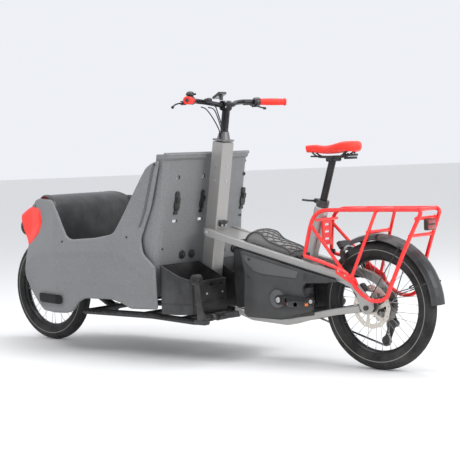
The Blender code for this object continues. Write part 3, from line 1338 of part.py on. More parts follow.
def main():
    finishes = {
        "box_grey": material("speckled grey plastic", (0.42, 0.43, 0.44), 0.55),
        "dark_grey": material("dark grey plastic", (0.10, 0.10, 0.11), 0.45),
        "black": material("satin black", (0.02, 0.02, 0.022), 0.4),
        "rubber": material("tyre rubber", (0.025, 0.025, 0.025), 0.75),
        "silver": material("warm silver paint", (0.42, 0.40, 0.38), 0.35, 0.4),
        "cast": material("cast alloy", (0.30, 0.30, 0.30), 0.5, 0.6),
        "steel": material("brushed steel", (0.62, 0.58, 0.53), 0.3, 1.0),
        "dark_steel": material("dark steel", (0.15, 0.15, 0.15), 0.35, 0.9),
        "red_paint": material("bright red paint", (0.85, 0.035, 0.020), 0.3),
        "red_rubber": material("red orange rubber", (0.90, 0.09, 0.05), 0.5),
    }
    make_wheels(finishes)
    make_fork(finishes)
    make_cargo_frame(finishes)
    make_column(finishes)
    make_rails(finishes)
    make_seat_tube(finishes)
    make_side_panels(finishes)
    make_back_wall(finishes)
    make_box_floor(finishes)
    make_front_wall(finishes)
    make_nose(finishes)
    make_bench(finishes)
    make_bins(finishes)
    make_stand(finishes)
    make_motor_covers(finishes)
    make_motor(finishes)
    make_cranks(finishes)
    make_chain(finishes)
    make_pouch(finishes)
    make_rack(finishes)
    make_mudguard(finishes)
    make_rear_fittings(finishes)
    make_handlebar(finishes)
    for guide in GUIDES.objects:
        guide.hide_render = True
        guide.display_type = "WIRE"


main()
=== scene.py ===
"""Finished looks of the front-box cargo bicycle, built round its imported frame.

Every size is in metres in the frame's own axes: X runs rearward, Y to the rider's right and Z up.
"""

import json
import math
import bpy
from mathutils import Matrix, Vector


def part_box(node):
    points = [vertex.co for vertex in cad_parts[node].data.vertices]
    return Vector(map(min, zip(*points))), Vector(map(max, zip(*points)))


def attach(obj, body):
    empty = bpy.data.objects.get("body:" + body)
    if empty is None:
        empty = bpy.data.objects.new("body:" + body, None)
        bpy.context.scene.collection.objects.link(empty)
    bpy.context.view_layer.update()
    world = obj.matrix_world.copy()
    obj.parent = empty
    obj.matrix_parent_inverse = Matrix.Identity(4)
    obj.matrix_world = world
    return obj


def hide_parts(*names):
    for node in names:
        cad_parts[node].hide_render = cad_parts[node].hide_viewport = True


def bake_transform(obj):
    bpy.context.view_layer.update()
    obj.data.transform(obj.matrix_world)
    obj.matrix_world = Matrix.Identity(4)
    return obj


bl_info = {
    "name": "Cargo bicycle finish",
    "version": (1, 0, 0),
    "blender": (4, 5, 0),
    "location": "View3D > Sidebar > Cargo bicycle",
    "description": "Builds the fine meshes, soft pieces and materials of a front-box cargo bicycle",
    "category": "Object",
}

import bmesh
import bpy
from mathutils import Matrix, Vector

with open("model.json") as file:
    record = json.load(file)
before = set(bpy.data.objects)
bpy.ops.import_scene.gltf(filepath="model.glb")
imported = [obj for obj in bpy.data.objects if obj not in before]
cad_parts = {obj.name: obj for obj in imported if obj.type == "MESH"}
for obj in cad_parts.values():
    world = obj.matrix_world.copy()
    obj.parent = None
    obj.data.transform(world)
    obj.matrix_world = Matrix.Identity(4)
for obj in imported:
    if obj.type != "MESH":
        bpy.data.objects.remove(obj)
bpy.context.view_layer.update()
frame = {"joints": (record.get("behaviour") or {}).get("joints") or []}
JOINTS = {joint["name"]: joint for joint in frame["joints"]}
FRONT_AXLE = Vector(JOINTS["front_wheel_spin"]["pos_m"])
REAR_AXLE = Vector(JOINTS["rear_wheel_spin"]["pos_m"])
CRANK = Vector(JOINTS["crank_spin"]["pos_m"])
BAR_TURN = JOINTS["bar_turn"]
COLUMN_UP = Vector(BAR_TURN["axis"]).normalized()
COLUMN_HEAD = Vector(BAR_TURN["pos_m"])
SHIFT = (FRONT_AXLE.x + REAR_AXLE.x) / 2
WHEEL_RADIUS = FRONT_AXLE.z
SIDES = ((-1, "left"), (1, "right"))
X, Y, Z = Vector((1, 0, 0)), Vector((0, 1, 0)), Vector((0, 0, 1))


# ---------------------------------------------------------------- sizes and colours a user may change
class CargoBikeSizes(bpy.types.PropertyGroup):
    """Sizes of the fine pieces."""

    tread_depth: bpy.props.FloatProperty(
        name="Tread depth", description="Depth of the grooves between the tyre's blocks",
        default=0.0022, min=0.0, max=0.004, unit="LENGTH")
    spoke_width: bpy.props.FloatProperty(
        name="Spoke width", description="Diameter of one spoke", default=0.0022, unit="LENGTH")
    spokes: bpy.props.IntProperty(
        name="Spokes", description="How many spokes lace one wheel", default=32, min=16, max=48)
    box_wall: bpy.props.FloatProperty(
        name="Box wall", description="Thickness of the moulded box sides", default=0.006, unit="LENGTH")
    box_edge: bpy.props.FloatProperty(
        name="Box edge radius", description="How far the box sides roll in at their edges",
        default=0.010, unit="LENGTH")
    rack_tube: bpy.props.FloatProperty(
        name="Rack tube", description="Outer radius of the rack's tubes", default=0.0084, unit="LENGTH")
    cable: bpy.props.FloatProperty(
        name="Hose radius", description="Outer radius of a brake hose", default=0.0026, unit="LENGTH")
    net_step: bpy.props.FloatProperty(
        name="Net spacing", description="Distance between the cords of the pouch net",
        default=0.020, unit="LENGTH")


class CargoBikeColours(bpy.types.PropertyGroup):
    """Colours of the main finishes."""

    box: bpy.props.FloatVectorProperty(
        name="Box", description="Moulded plastic of the cargo box", subtype="COLOR",
        default=(0.200, 0.204, 0.208), min=0, max=1)
    frame: bpy.props.FloatVectorProperty(
        name="Frame", description="Metallic paint of the frame", subtype="COLOR",
        default=(0.360, 0.350, 0.338), min=0, max=1)
    red: bpy.props.FloatVectorProperty(
        name="Rack red", description="Gloss paint of the rear rack", subtype="COLOR",
        default=(0.90, 0.010, 0.008), min=0, max=1)
    coral: bpy.props.FloatVectorProperty(
        name="Soft red", description="Saddle, grips and nose cover", subtype="COLOR",
        default=(0.95, 0.030, 0.014), min=0, max=1)
    covers: bpy.props.FloatVectorProperty(
        name="Covers", description="Motor covers and bench", subtype="COLOR",
        default=(0.045, 0.0455, 0.046), min=0, max=1)


def sizes():
    return bpy.context.scene.cargo_bike_sizes


def colours():
    return bpy.context.scene.cargo_bike_colours


# ---------------------------------------------------------------- shader node groups
def new_group(name, inputs, outputs):
    """An empty shader group with its sockets: inputs and outputs are (name, kind, default)."""
    group = bpy.data.node_groups.new(name, "ShaderNodeTree")
    for label, kind, default in inputs:
        socket = group.interface.new_socket(label, in_out="INPUT", socket_type=kind)
        socket.default_value = default
    for label, kind in outputs:
        group.interface.new_socket(label, in_out="OUTPUT", socket_type=kind)
    return group, group.nodes.new("NodeGroupInput"), group.nodes.new("NodeGroupOutput")


def node(tree, kind, **settings):
    """A node with its settings; sockets are named as _Socket_name."""
    made = tree.nodes.new(kind)
    for key, value in settings.items():
        setattr(made, key, value)
    return made


def math_node(tree, operation, first, second, clamp=False):
    made = node(tree, "ShaderNodeMath", operation=operation, use_clamp=clamp)
    for number, value in enumerate((first, second)):
        if isinstance(value, (int, float)):
            made.inputs[number].default_value = value
        else:
            tree.links.new(value, made.inputs[number])
    return made.outputs[0]


def noise_at(tree, scale, detail, coordinates, roughness=0.5):
    made = node(tree, "ShaderNodeTexNoise")
    if isinstance(scale, (int, float)):
        made.inputs["Scale"].default_value = scale
    else:
        tree.links.new(scale, made.inputs["Scale"])
    made.inputs["Detail"].default_value = detail
    made.inputs["Roughness"].default_value = roughness
    tree.links.new(coordinates, made.inputs["Vector"])
    return made.outputs["Fac"]


def mixed(tree, share, first, second):
    """Colour between two colours, by a share."""
    mix = node(tree, "ShaderNodeMix", data_type="RGBA")
    tree.links.new(share, mix.inputs["Factor"])
    for socket, value in ((mix.inputs[6], first), (mix.inputs[7], second)):
        if isinstance(value, tuple):
            socket.default_value = value
        else:
            tree.links.new(value, socket)
    return mix.outputs[2]


def spread(tree, value, low, high, to_low=0.0, to_high=1.0):
    made = node(tree, "ShaderNodeMapRange")
    tree.links.new(value, made.inputs["Value"])
    for label, number in (("From Min", low), ("From Max", high), ("To Min", to_low), ("To Max", to_high)):
        if isinstance(number, (int, float)):
            made.inputs[label].default_value = number
        else:
            tree.links.new(number, made.inputs[label])
    return made.outputs["Result"]


def object_place(tree):
    return node(tree, "ShaderNodeTexCoord").outputs["Object"]


def speckle_group():
    """Two sizes of light and dark flecks moulded into a plastic."""
    group, given, out = new_group(
        "Moulded flecks",
        [("Plastic", "NodeSocketColor", (0.3, 0.3, 0.3, 1)), ("Fleck size", "NodeSocketFloat", 420.0),
         ("Fleck strength", "NodeSocketFloat", 0.5)],
        [("Colour", "NodeSocketColor"), ("Roughness", "NodeSocketFloat"), ("Height", "NodeSocketFloat")])
    place = object_place(group)
    fine = noise_at(group, given.outputs["Fleck size"], 2.0, place, 0.6)
    coarse = noise_at(group, math_node(group, "MULTIPLY", given.outputs["Fleck size"], 0.42), 2.0, place, 0.7)
    cloud = noise_at(group, 5.0, 3.0, place)
    light = spread(group, fine, 0.56, 0.70)
    dark = spread(group, coarse, 0.42, 0.30)
    strength = given.outputs["Fleck strength"]
    plastic = given.outputs["Plastic"]
    lighter = node(group, "ShaderNodeMix", data_type="RGBA", blend_type="ADD")
    group.links.new(math_node(group, "MULTIPLY", light, strength), lighter.inputs["Factor"])
    group.links.new(plastic, lighter.inputs[6])
    lighter.inputs[7].default_value = (0.30, 0.30, 0.30, 1)
    darker = mixed(group, math_node(group, "MULTIPLY", dark, strength), lighter.outputs[2], (0.05, 0.05, 0.052, 1))
    shade = node(group, "ShaderNodeMix", data_type="RGBA", blend_type="MULTIPLY")
    group.links.new(spread(group, cloud, 0.3, 0.7, 0.0, 0.22), shade.inputs["Factor"])
    group.links.new(darker, shade.inputs[6])
    shade.inputs[7].default_value = (0.72, 0.72, 0.74, 1)
    group.links.new(shade.outputs[2], out.inputs["Colour"])
    group.links.new(spread(group, coarse, 0.3, 0.7, 0.48, 0.68), out.inputs["Roughness"])
    group.links.new(fine, out.inputs["Height"])
    return group


def grain_group():
    """Fine grain of a moulded or coated surface, with slow cloudy change."""
    group, given, out = new_group(
        "Surface grain",
        [("Colour", "NodeSocketColor", (0.1, 0.1, 0.1, 1)), ("Grain size", "NodeSocketFloat", 900.0),
         ("Cloud strength", "NodeSocketFloat", 0.2), ("Rough low", "NodeSocketFloat", 0.3),
         ("Rough high", "NodeSocketFloat", 0.5)],
        [("Colour", "NodeSocketColor"), ("Roughness", "NodeSocketFloat"), ("Height", "NodeSocketFloat")])
    place = object_place(group)
    grain = noise_at(group, given.outputs["Grain size"], 3.0, place, 0.6)
    cloud = noise_at(group, 11.0, 4.0, place, 0.6)
    lighter = node(group, "ShaderNodeMix", data_type="RGBA", blend_type="SCREEN")
    amount = math_node(group, "MULTIPLY", spread(group, cloud, 0.35, 0.75), given.outputs["Cloud strength"])
    group.links.new(amount, lighter.inputs["Factor"])
    group.links.new(given.outputs["Colour"], lighter.inputs[6])
    lighter.inputs[7].default_value = (0.16, 0.16, 0.16, 1)
    group.links.new(lighter.outputs[2], out.inputs["Colour"])
    both = math_node(group, "ADD", math_node(group, "MULTIPLY", grain, 0.5),
                     math_node(group, "MULTIPLY", cloud, 0.5))
    rough = spread(group, both, 0.35, 0.65, given.outputs["Rough low"], given.outputs["Rough high"])
    group.links.new(rough, out.inputs["Roughness"])
    group.links.new(grain, out.inputs["Height"])
    return group


def dust_group():
    """Road dust that gathers low down, in soft uneven patches."""
    group, given, out = new_group(
        "Road dust",
        [("Colour", "NodeSocketColor", (0.1, 0.1, 0.1, 1)), ("Dust", "NodeSocketFloat", 0.25),
         ("Top", "NodeSocketFloat", 0.45)],
        [("Colour", "NodeSocketColor")])
    place = object_place(group)
    split = node(group, "ShaderNodeSeparateXYZ")
    group.links.new(place, split.inputs[0])
    low = spread(group, split.outputs["Z"], given.outputs["Top"], 0.0)
    patch = spread(group, noise_at(group, 26.0, 6.0, place, 0.7), 0.42, 0.72)
    share = math_node(group, "MULTIPLY", math_node(group, "MULTIPLY", low, patch), given.outputs["Dust"], True)
    colour = mixed(group, share, given.outputs["Colour"], (0.19, 0.165, 0.135, 1))
    group.links.new(colour, out.inputs["Colour"])
    return group


def wear_group():
    """Bright rub marks on the sharp edges of a coated piece."""
    group, given, out = new_group(
        "Edge wear",
        [("Colour", "NodeSocketColor", (0.1, 0.1, 0.1, 1)), ("Bare", "NodeSocketColor", (0.4, 0.4, 0.4, 1)),
         ("Wear", "NodeSocketFloat", 0.3)],
        [("Colour", "NodeSocketColor"), ("Mask", "NodeSocketFloat")])
    place = object_place(group)
    edge = spread(group, node(group, "ShaderNodeNewGeometry").outputs["Pointiness"], 0.53, 0.62)
    patch = spread(group, noise_at(group, 70.0, 5.0, place, 0.65), 0.45, 0.70)
    share = math_node(group, "MULTIPLY", math_node(group, "MULTIPLY", edge, patch), given.outputs["Wear"], True)
    group.links.new(mixed(group, share, given.outputs["Colour"], given.outputs["Bare"]), out.inputs["Colour"])
    group.links.new(share, out.inputs["Mask"])
    return group


def brushed_group():
    """Fine parallel scratches left by grinding; Stretch says how long they run on each axis."""
    group, given, out = new_group(
        "Brushed lines",
        [("Colour", "NodeSocketColor", (0.5, 0.5, 0.5, 1)), ("Lines", "NodeSocketFloat", 260.0),
         ("Stretch", "NodeSocketVector", (1.0, 1.0, 0.05))],
        [("Colour", "NodeSocketColor"), ("Roughness", "NodeSocketFloat"), ("Height", "NodeSocketFloat")])
    scaled = node(group, "ShaderNodeVectorMath", operation="MULTIPLY")
    group.links.new(object_place(group), scaled.inputs[0])
    group.links.new(given.outputs["Stretch"], scaled.inputs[1])
    lines = noise_at(group, given.outputs["Lines"], 4.0, scaled.outputs[0], 0.7)
    shade = node(group, "ShaderNodeMix", data_type="RGBA", blend_type="MULTIPLY")
    group.links.new(spread(group, lines, 0.35, 0.70, 0.0, 0.45), shade.inputs["Factor"])
    group.links.new(given.outputs["Colour"], shade.inputs[6])
    shade.inputs[7].default_value = (0.55, 0.53, 0.50, 1)
    group.links.new(shade.outputs[2], out.inputs["Colour"])
    group.links.new(spread(group, lines, 0.3, 0.7, 0.24, 0.46), out.inputs["Roughness"])
    group.links.new(lines, out.inputs["Height"])
    return group


def weave_group():
    """Plain woven threads, over and under, with a little fuzz."""
    group, given, out = new_group(
        "Woven threads",
        [("Colour", "NodeSocketColor", (0.1, 0.1, 0.1, 1)), ("Threads", "NodeSocketFloat", 380.0)],
        [("Colour", "NodeSocketColor"), ("Height", "NodeSocketFloat")])
    place = object_place(group)
    waves = []
    for direction in ("X", "Y"):
        wave = node(group, "ShaderNodeTexWave", bands_direction=direction)
        wave.inputs["Distortion"].default_value = 0.6
        group.links.new(given.outputs["Threads"], wave.inputs["Scale"])
        group.links.new(place, wave.inputs["Vector"])
        waves.append(wave.outputs["Fac"])
    height = math_node(group, "MAXIMUM", *waves)
    fuzz = noise_at(group, 1500.0, 3.0, place, 0.7)
    share = spread(group, math_node(group, "MULTIPLY", height, fuzz), 0.1, 0.6)
    lighter = node(group, "ShaderNodeMix", data_type="RGBA", blend_type="SCREEN")
    group.links.new(math_node(group, "MULTIPLY", share, 0.5), lighter.inputs["Factor"])
    group.links.new(given.outputs["Colour"], lighter.inputs[6])
    lighter.inputs[7].default_value = (0.2, 0.2, 0.2, 1)
    group.links.new(lighter.outputs[2], out.inputs["Colour"])
    group.links.new(height, out.inputs["Height"])
    return group


GROUP_MAKERS = {"flecks": speckle_group, "grain": grain_group, "dust": dust_group,
                "wear": wear_group, "brushed": brushed_group, "weave": weave_group}
GROUPS = {}
FINISHES = {}


# ---------------------------------------------------------------- materials
def placed(tree, name, **values):
    """One of the shared groups in a material, with its inputs set."""
    if name not in GROUPS:
        GROUPS[name] = GROUP_MAKERS[name]()
    made = node(tree, "ShaderNodeGroup", node_tree=GROUPS[name])
    for label, value in values.items():
        socket = made.inputs[label.replace("_", " ")]
        if isinstance(value, bpy.types.NodeSocket):
            tree.links.new(value, socket)
        else:
            socket.default_value = value
    return made


def new_material(name, metallic=0.0, coat=0.0, coat_roughness=0.1, sheen=0.0, specular=0.5):
    """A material with its Principled shader, whose even values are set on its own sockets."""
    made = bpy.data.materials.new(name)
    made.use_nodes = True
    tree = made.node_tree
    shader = tree.nodes["Principled BSDF"]
    shader.inputs["Metallic"].default_value = metallic
    shader.inputs["Coat Weight"].default_value = coat
    shader.inputs["Coat Roughness"].default_value = coat_roughness
    shader.inputs["Sheen Weight"].default_value = sheen
    shader.inputs["Specular IOR Level"].default_value = specular
    return made, tree, shader


def bump(tree, shader, height, distance, strength=1.0):
    made = node(tree, "ShaderNodeBump")
    made.inputs["Distance"].default_value = distance
    made.inputs["Strength"].default_value = strength
    tree.links.new(height, made.inputs["Height"])
    tree.links.new(made.outputs["Normal"], shader.inputs["Normal"])


def rgba(colour):
    return (colour[0], colour[1], colour[2], 1.0)


def flecked(name, colour, size=420.0, strength=0.5, dust=0.2, relief=0.0003):
    """Moulded plastic with flecks in it."""
    made, tree, shader = new_material(name, specular=0.35)
    flecks = placed(tree, "flecks", Plastic=rgba(colour), Fleck_size=size, Fleck_strength=strength)
    dusty = placed(tree, "dust", Colour=flecks.outputs["Colour"], Dust=dust, Top=0.42)
    tree.links.new(dusty.outputs["Colour"], shader.inputs["Base Color"])
    tree.links.new(flecks.outputs["Roughness"], shader.inputs["Roughness"])
    bump(tree, shader, flecks.outputs["Height"], relief, 0.5)
    return made


def coated(name, colour, rough=(0.3, 0.5), grain=900.0, cloud=0.2, metallic=0.0, coat=0.0, bare=None,
           wear=0.0, dust=0.15, relief=0.00015, sheen=0.0, specular=0.5):
    """Paint, powder coat or plain plastic with grain, worn edges and dust."""
    made, tree, shader = new_material(name, metallic, coat, 0.12, sheen, specular)
    skin = placed(tree, "grain", Colour=rgba(colour), Grain_size=grain, Cloud_strength=cloud,
                  Rough_low=rough[0], Rough_high=rough[1])
    worn = placed(tree, "wear", Colour=skin.outputs["Colour"], Bare=rgba(bare or colour), Wear=wear)
    dusty = placed(tree, "dust", Colour=worn.outputs["Colour"], Dust=dust, Top=0.4)
    tree.links.new(dusty.outputs["Colour"], shader.inputs["Base Color"])
    tree.links.new(skin.outputs["Roughness"], shader.inputs["Roughness"])
    bump(tree, shader, skin.outputs["Height"], relief, 0.6)
    return made


def flake_paint(name, colour):
    """Satin metallic paint: bright flakes under a clear coat."""
    made, tree, shader = new_material(name, 0.55, 0.35, 0.2)
    place = object_place(tree)
    flakes = node(tree, "ShaderNodeTexVoronoi")
    flakes.inputs["Scale"].default_value = 1500.0
    tree.links.new(place, flakes.inputs["Vector"])
    share = spread(tree, flakes.outputs["Distance"], 0.05, 0.55, 0.55, 0.0)
    bright = mixed(tree, share, rgba(colour), rgba([value * 1.55 for value in colour]))
    worn = placed(tree, "wear", Colour=bright, Bare=(0.50, 0.49, 0.47, 1), Wear=0.35)
    dusty = placed(tree, "dust", Colour=worn.outputs["Colour"], Dust=0.12, Top=0.40)
    tree.links.new(dusty.outputs["Colour"], shader.inputs["Base Color"])
    skin = placed(tree, "grain", Grain_size=650.0, Rough_low=0.30, Rough_high=0.44)
    tree.links.new(skin.outputs["Roughness"], shader.inputs["Roughness"])
    bump(tree, shader, skin.outputs["Height"], 0.0001, 0.5)
    return made


def brushed(name, colour, lines=260.0, stretch=(1.0, 1.0, 0.05), metallic=1.0, relief=0.00012):
    """Bare metal with grinding lines."""
    made, tree, shader = new_material(name, metallic)
    skin = placed(tree, "brushed", Colour=rgba(colour), Lines=lines, Stretch=stretch)
    dusty = placed(tree, "dust", Colour=skin.outputs["Colour"], Dust=0.12, Top=0.35)
    tree.links.new(dusty.outputs["Colour"], shader.inputs["Base Color"])
    tree.links.new(skin.outputs["Roughness"], shader.inputs["Roughness"])
    bump(tree, shader, skin.outputs["Height"], relief, 0.5)
    return made


def woven(name, colour, threads=380.0):
    made, tree, shader = new_material(name, sheen=0.35, specular=0.25)
    skin = placed(tree, "weave", Colour=rgba(colour), Threads=threads)
    tree.links.new(skin.outputs["Colour"], shader.inputs["Base Color"])
    shader.inputs["Roughness"].default_value = 0.8
    bump(tree, shader, skin.outputs["Height"], 0.0004, 0.7)
    return made


def lens(name, colour, lines=180.0, rough=0.08, coat=1.0):
    """Moulded lens: a coloured body with prism ribs under a clear face."""
    made, tree, shader = new_material(name, coat=coat, coat_roughness=0.03)
    wave = node(tree, "ShaderNodeTexWave", bands_direction="Z")
    wave.inputs["Scale"].default_value = lines
    tree.links.new(object_place(tree), wave.inputs["Vector"])
    shade = mixed(tree, wave.outputs["Fac"], rgba([value * 0.55 for value in colour]), rgba(colour))
    tree.links.new(shade, shader.inputs["Base Color"])
    shader.inputs["Roughness"].default_value = rough
    bump(tree, shader, wave.outputs["Fac"], 0.0005, 0.6)
    return made


def finish_makers():
    tint = colours()
    return {
        "box": lambda: flecked("Flecked grey box plastic", tint.box, 430.0, 0.46),
        # A darker copy of the box plastic, used as painted shade in the pillar's groove.
        "box_painted_shade": lambda: flecked("Flecked shadow plastic", [v * 0.55 for v in tint.box], 430.0, 0.3),
        "liner": lambda: coated("Satin black liner sheet", (0.014, 0.015, 0.016), (0.30, 0.42), 520.0, 0.25),
        "frame": lambda: flake_paint("Silver grey frame paint", tint.frame),
        "cast": lambda: coated("Cast alloy", (0.17, 0.17, 0.17), (0.42, 0.6), 420.0, 0.5, 0.75,
                               relief=0.0005, bare=(0.5, 0.5, 0.5), wear=0.5),
        "black_metal": lambda: coated("Black powder coat", (0.012, 0.012, 0.013), (0.28, 0.46), 1100.0, 0.16,
                                      bare=(0.22, 0.22, 0.22), wear=0.35),
        "anodised": lambda: coated("Black anodised alloy", (0.016, 0.016, 0.018), (0.22, 0.36), 1500.0, 0.12,
                                   0.6, bare=(0.35, 0.35, 0.36), wear=0.4),
        "black_plastic": lambda: coated("Satin black plastic", (0.009, 0.009, 0.0095), (0.30, 0.42), 800.0, 0.22,
                                        specular=0.6),
        "covers": lambda: coated("Dark grey cover plastic", tint.covers, (0.40, 0.55), 1000.0, 0.12,
                                 relief=0.0003, specular=0.4),
        # Painted light: a lighter copy of the cover plastic for the upper panel above the crease, as if that face were
        # turned up towards the light.
        "covers_painted_light": lambda: coated("Cover panel with painted light", [v * 2.1 for v in tint.covers], (0.38, 0.5),
                                       1000.0, 0.10, relief=0.0002, specular=0.4),
        "rubber": lambda: coated("Tyre rubber", (0.009, 0.0088, 0.0085), (0.62, 0.85), 520.0, 0.25, dust=0.16,
                                 relief=0.0004, specular=0.3),
        "sidewall": lambda: coated("Tyre sidewall", (0.011, 0.0107, 0.0105), (0.50, 0.68), 900.0, 0.15, dust=0.12,
                                   specular=0.35),
        "stripe": lambda: coated("Reflective tyre stripe", (0.20, 0.19, 0.18), (0.25, 0.4), 1500.0, 0.1,
                                 dust=0.1),
        "soft_black": lambda: coated("Soft black rubber", (0.016, 0.016, 0.016), (0.55, 0.75), 900.0, 0.15,
                                     specular=0.3),
        "hose": lambda: coated("Brake hose", (0.010, 0.010, 0.011), (0.32, 0.46), 1800.0, 0.1, dust=0.05),
        "red": lambda: coated("Gloss red paint", tint.red, (0.20, 0.32), 700.0, 0.04, coat=0.6,
                              bare=(0.92, 0.20, 0.14), wear=0.25, dust=0.08, relief=0.00006),
        "coral": lambda: coated("Soft red plastic", tint.coral, (0.40, 0.56), 900.0, 0.06, dust=0.05,
                                relief=0.00025, specular=0.4),
        "saddle": lambda: coated("Red saddle cover", tint.coral, (0.46, 0.62), 1400.0, 0.06, sheen=0.15,
                                 dust=0.03, relief=0.0004, specular=0.35),
        "steel": lambda: brushed("Ground rotor steel", (0.66, 0.62, 0.56), 340.0, (1.0, 0.1, 1.0)),
        "bolt": lambda: brushed("Bright bolt steel", (0.60, 0.60, 0.60), 500.0, (1.0, 1.0, 1.0)),
        "dark_steel": lambda: brushed("Dark chain steel", (0.16, 0.155, 0.15), 700.0, (1.0, 1.0, 1.0)),
        "cogs": lambda: brushed("Sprocket steel", (0.36, 0.35, 0.33), 420.0, (1.0, 0.2, 1.0)),
        "spoke": lambda: brushed("Spoke wire", (0.42, 0.42, 0.42), 600.0, (1.0, 1.0, 1.0)),
        "net": lambda: woven("Grey bag cloth", (0.200, 0.198, 0.190), 300.0),
        "webbing": lambda: woven("Black webbing", (0.013, 0.013, 0.014), 500.0),
        "red_lens": lambda: lens("Red lamp lens", (0.42, 0.008, 0.006)),
        "amber_lens": lambda: lens("Amber reflector", (0.95, 0.22, 0.01), 320.0, 0.15),
        "clear_lens": lambda: lens("Clear lamp lens", (0.20, 0.21, 0.22), 120.0, 0.05),
        "glass": lambda: coated("Display glass", (0.006, 0.007, 0.009), (0.05, 0.09), 300.0, 0.02, coat=1.0,
                                dust=0.0, relief=0.00001, specular=0.6),
        "badge": lambda: coated("Blank badge", (0.006, 0.006, 0.006), (0.55, 0.65), 600.0, 0.05,
                                specular=0.2, dust=0.0),
        "grey_pad": lambda: coated("Grey disc face", (0.09, 0.09, 0.095), (0.34, 0.46), 900.0, 0.1),
    }


def finish(name):
    """A material by its short name, made when it is first asked for."""
    if name not in FINISHES:
        FINISHES[name] = finish_makers()[name]()
    return FINISHES[name]


# ---------------------------------------------------------------- mesh helpers
def to_object(name, mesh_data, material, smooth=True, angle=40.0):
    """A finished object from a bmesh: cleaned, shaded and given its material."""
    bmesh.ops.remove_doubles(mesh_data, verts=mesh_data.verts, dist=1e-6)
    bmesh.ops.recalc_face_normals(mesh_data, faces=mesh_data.faces)
    mesh = bpy.data.meshes.new(name)
    for face in mesh_data.faces:
        face.smooth = smooth
    if smooth:
        for edge in mesh_data.edges:
            if len(edge.link_faces) == 2 and edge.calc_face_angle(0.0) > math.radians(angle):
                edge.smooth = False
    mesh_data.to_mesh(mesh)
    mesh_data.free()
    mesh.materials.append(finish(material))
    made = bpy.data.objects.new(name, mesh)
    bpy.context.scene.collection.objects.link(made)
    return made


def joined(meshes):
    """One bmesh out of several."""
    whole = bmesh.new()
    for part in meshes:
        part_mesh = bpy.data.meshes.new("joining")
        part.to_mesh(part_mesh)
        part.free()
        whole.from_mesh(part_mesh)
        bpy.data.meshes.remove(part_mesh)
    return whole


def moved(mesh_data, matrix):
    bmesh.ops.transform(mesh_data, matrix=matrix, verts=mesh_data.verts)
    return mesh_data


def facing(axis, at=(0, 0, 0)):
    """A matrix that turns +Z to an axis and moves to a place."""
    axis = Vector(axis).normalized()
    return Matrix.Translation(Vector(at)) @ axis.to_track_quat("Z", "Y").to_matrix().to_4x4()


def box(size, centre=(0, 0, 0), matrix=None, bevel=0.0, segments=2):
    """A box with rounded edges."""
    made = bmesh.new()
    bmesh.ops.create_cube(made, size=1.0)
    bmesh.ops.scale(made, vec=Vector(size), verts=made.verts)
    if bevel > 0:
        bmesh.ops.bevel(made, geom=made.edges[:], offset=bevel, segments=segments, profile=0.5,
                        affect="EDGES", clamp_overlap=True)
    bmesh.ops.translate(made, vec=Vector(centre), verts=made.verts)
    return moved(made, matrix) if matrix else made


def lathe(profile, axis, at, steps=40, closed=False):
    """A turned piece: profile holds (radius, height along the axis); ends at zero radius close it."""
    made = bmesh.new()
    rings = []
    for radius, height in profile:
        if radius < 1e-6:
            rings.append([made.verts.new((0, 0, height))])
            continue
        ring = []
        for step in range(steps):
            turn = math.tau * step / steps
            ring.append(made.verts.new((radius * math.cos(turn), radius * math.sin(turn), height)))
        rings.append(ring)
    pairs = list(zip(rings, rings[1:]))
    if closed:
        pairs.append((rings[-1], rings[0]))
    for low, high in pairs:
        for step in range(steps):
            after = (step + 1) % steps
            if len(low) == 1 and len(high) == 1:
                break
            if len(low) == 1:
                made.faces.new((low[0], high[after], high[step]))
            elif len(high) == 1:
                made.faces.new((low[step], low[after], high[0]))
            else:
                made.faces.new((low[step], low[after], high[after], high[step]))
    return moved(made, facing(axis, at))


def smooth_path(points, steps=6):
    """Points of a smooth curve through the given ones."""
    spots = [Vector(point) for point in points]
    if len(spots) < 3:
        return spots
    found = []
    for number in range(len(spots) - 1):
        before = spots[max(0, number - 1)]
        first, second = spots[number], spots[number + 1]
        later = spots[min(len(spots) - 1, number + 2)]
        for step in range(steps):
            share = step / steps
            square, cube = share * share, share ** 3
            found.append(0.5 * ((2 * first) + (second - before) * share
                                + (2 * before - 5 * first + 4 * second - later) * square
                                + (3 * first - before - 3 * second + later) * cube))
    found.append(spots[-1])
    return found


def tube(points, radius, sides=16, caps=True, flat=1.0, loop=False):
    """A round tube along points; radius may be one number or one for each point."""
    made = bmesh.new()
    spots = [Vector(point) for point in points]
    count = len(spots)
    radii = radius if isinstance(radius, (list, tuple)) else [radius] * count
    rings = []
    across = None
    for number, spot in enumerate(spots):
        if loop:
            along = spots[(number + 1) % count] - spots[number - 1]
        else:
            along = spots[min(count - 1, number + 1)] - spots[max(0, number - 1)]
        along.normalize()
        if across is None:
            across = along.orthogonal().normalized()
            if abs(along.z) < 0.9:
                across = along.cross(Z).normalized()
        across = (across - along * across.dot(along)).normalized()
        other = along.cross(across)
        ring = []
        for step in range(sides):
            turn = math.tau * step / sides
            ring.append(made.verts.new(spot + across * math.cos(turn) * radii[number]
                                       + other * math.sin(turn) * radii[number] * flat))
        rings.append(ring)
    pairs = list(zip(rings, rings[1:]))
    if loop:
        pairs.append((rings[-1], rings[0]))
    for low, high in pairs:
        for step in range(sides):
            after = (step + 1) % sides
            made.faces.new((low[step], low[after], high[after], high[step]))
    if caps and not loop:
        made.faces.new(rings[0][::-1])
        made.faces.new(rings[-1])
    return made


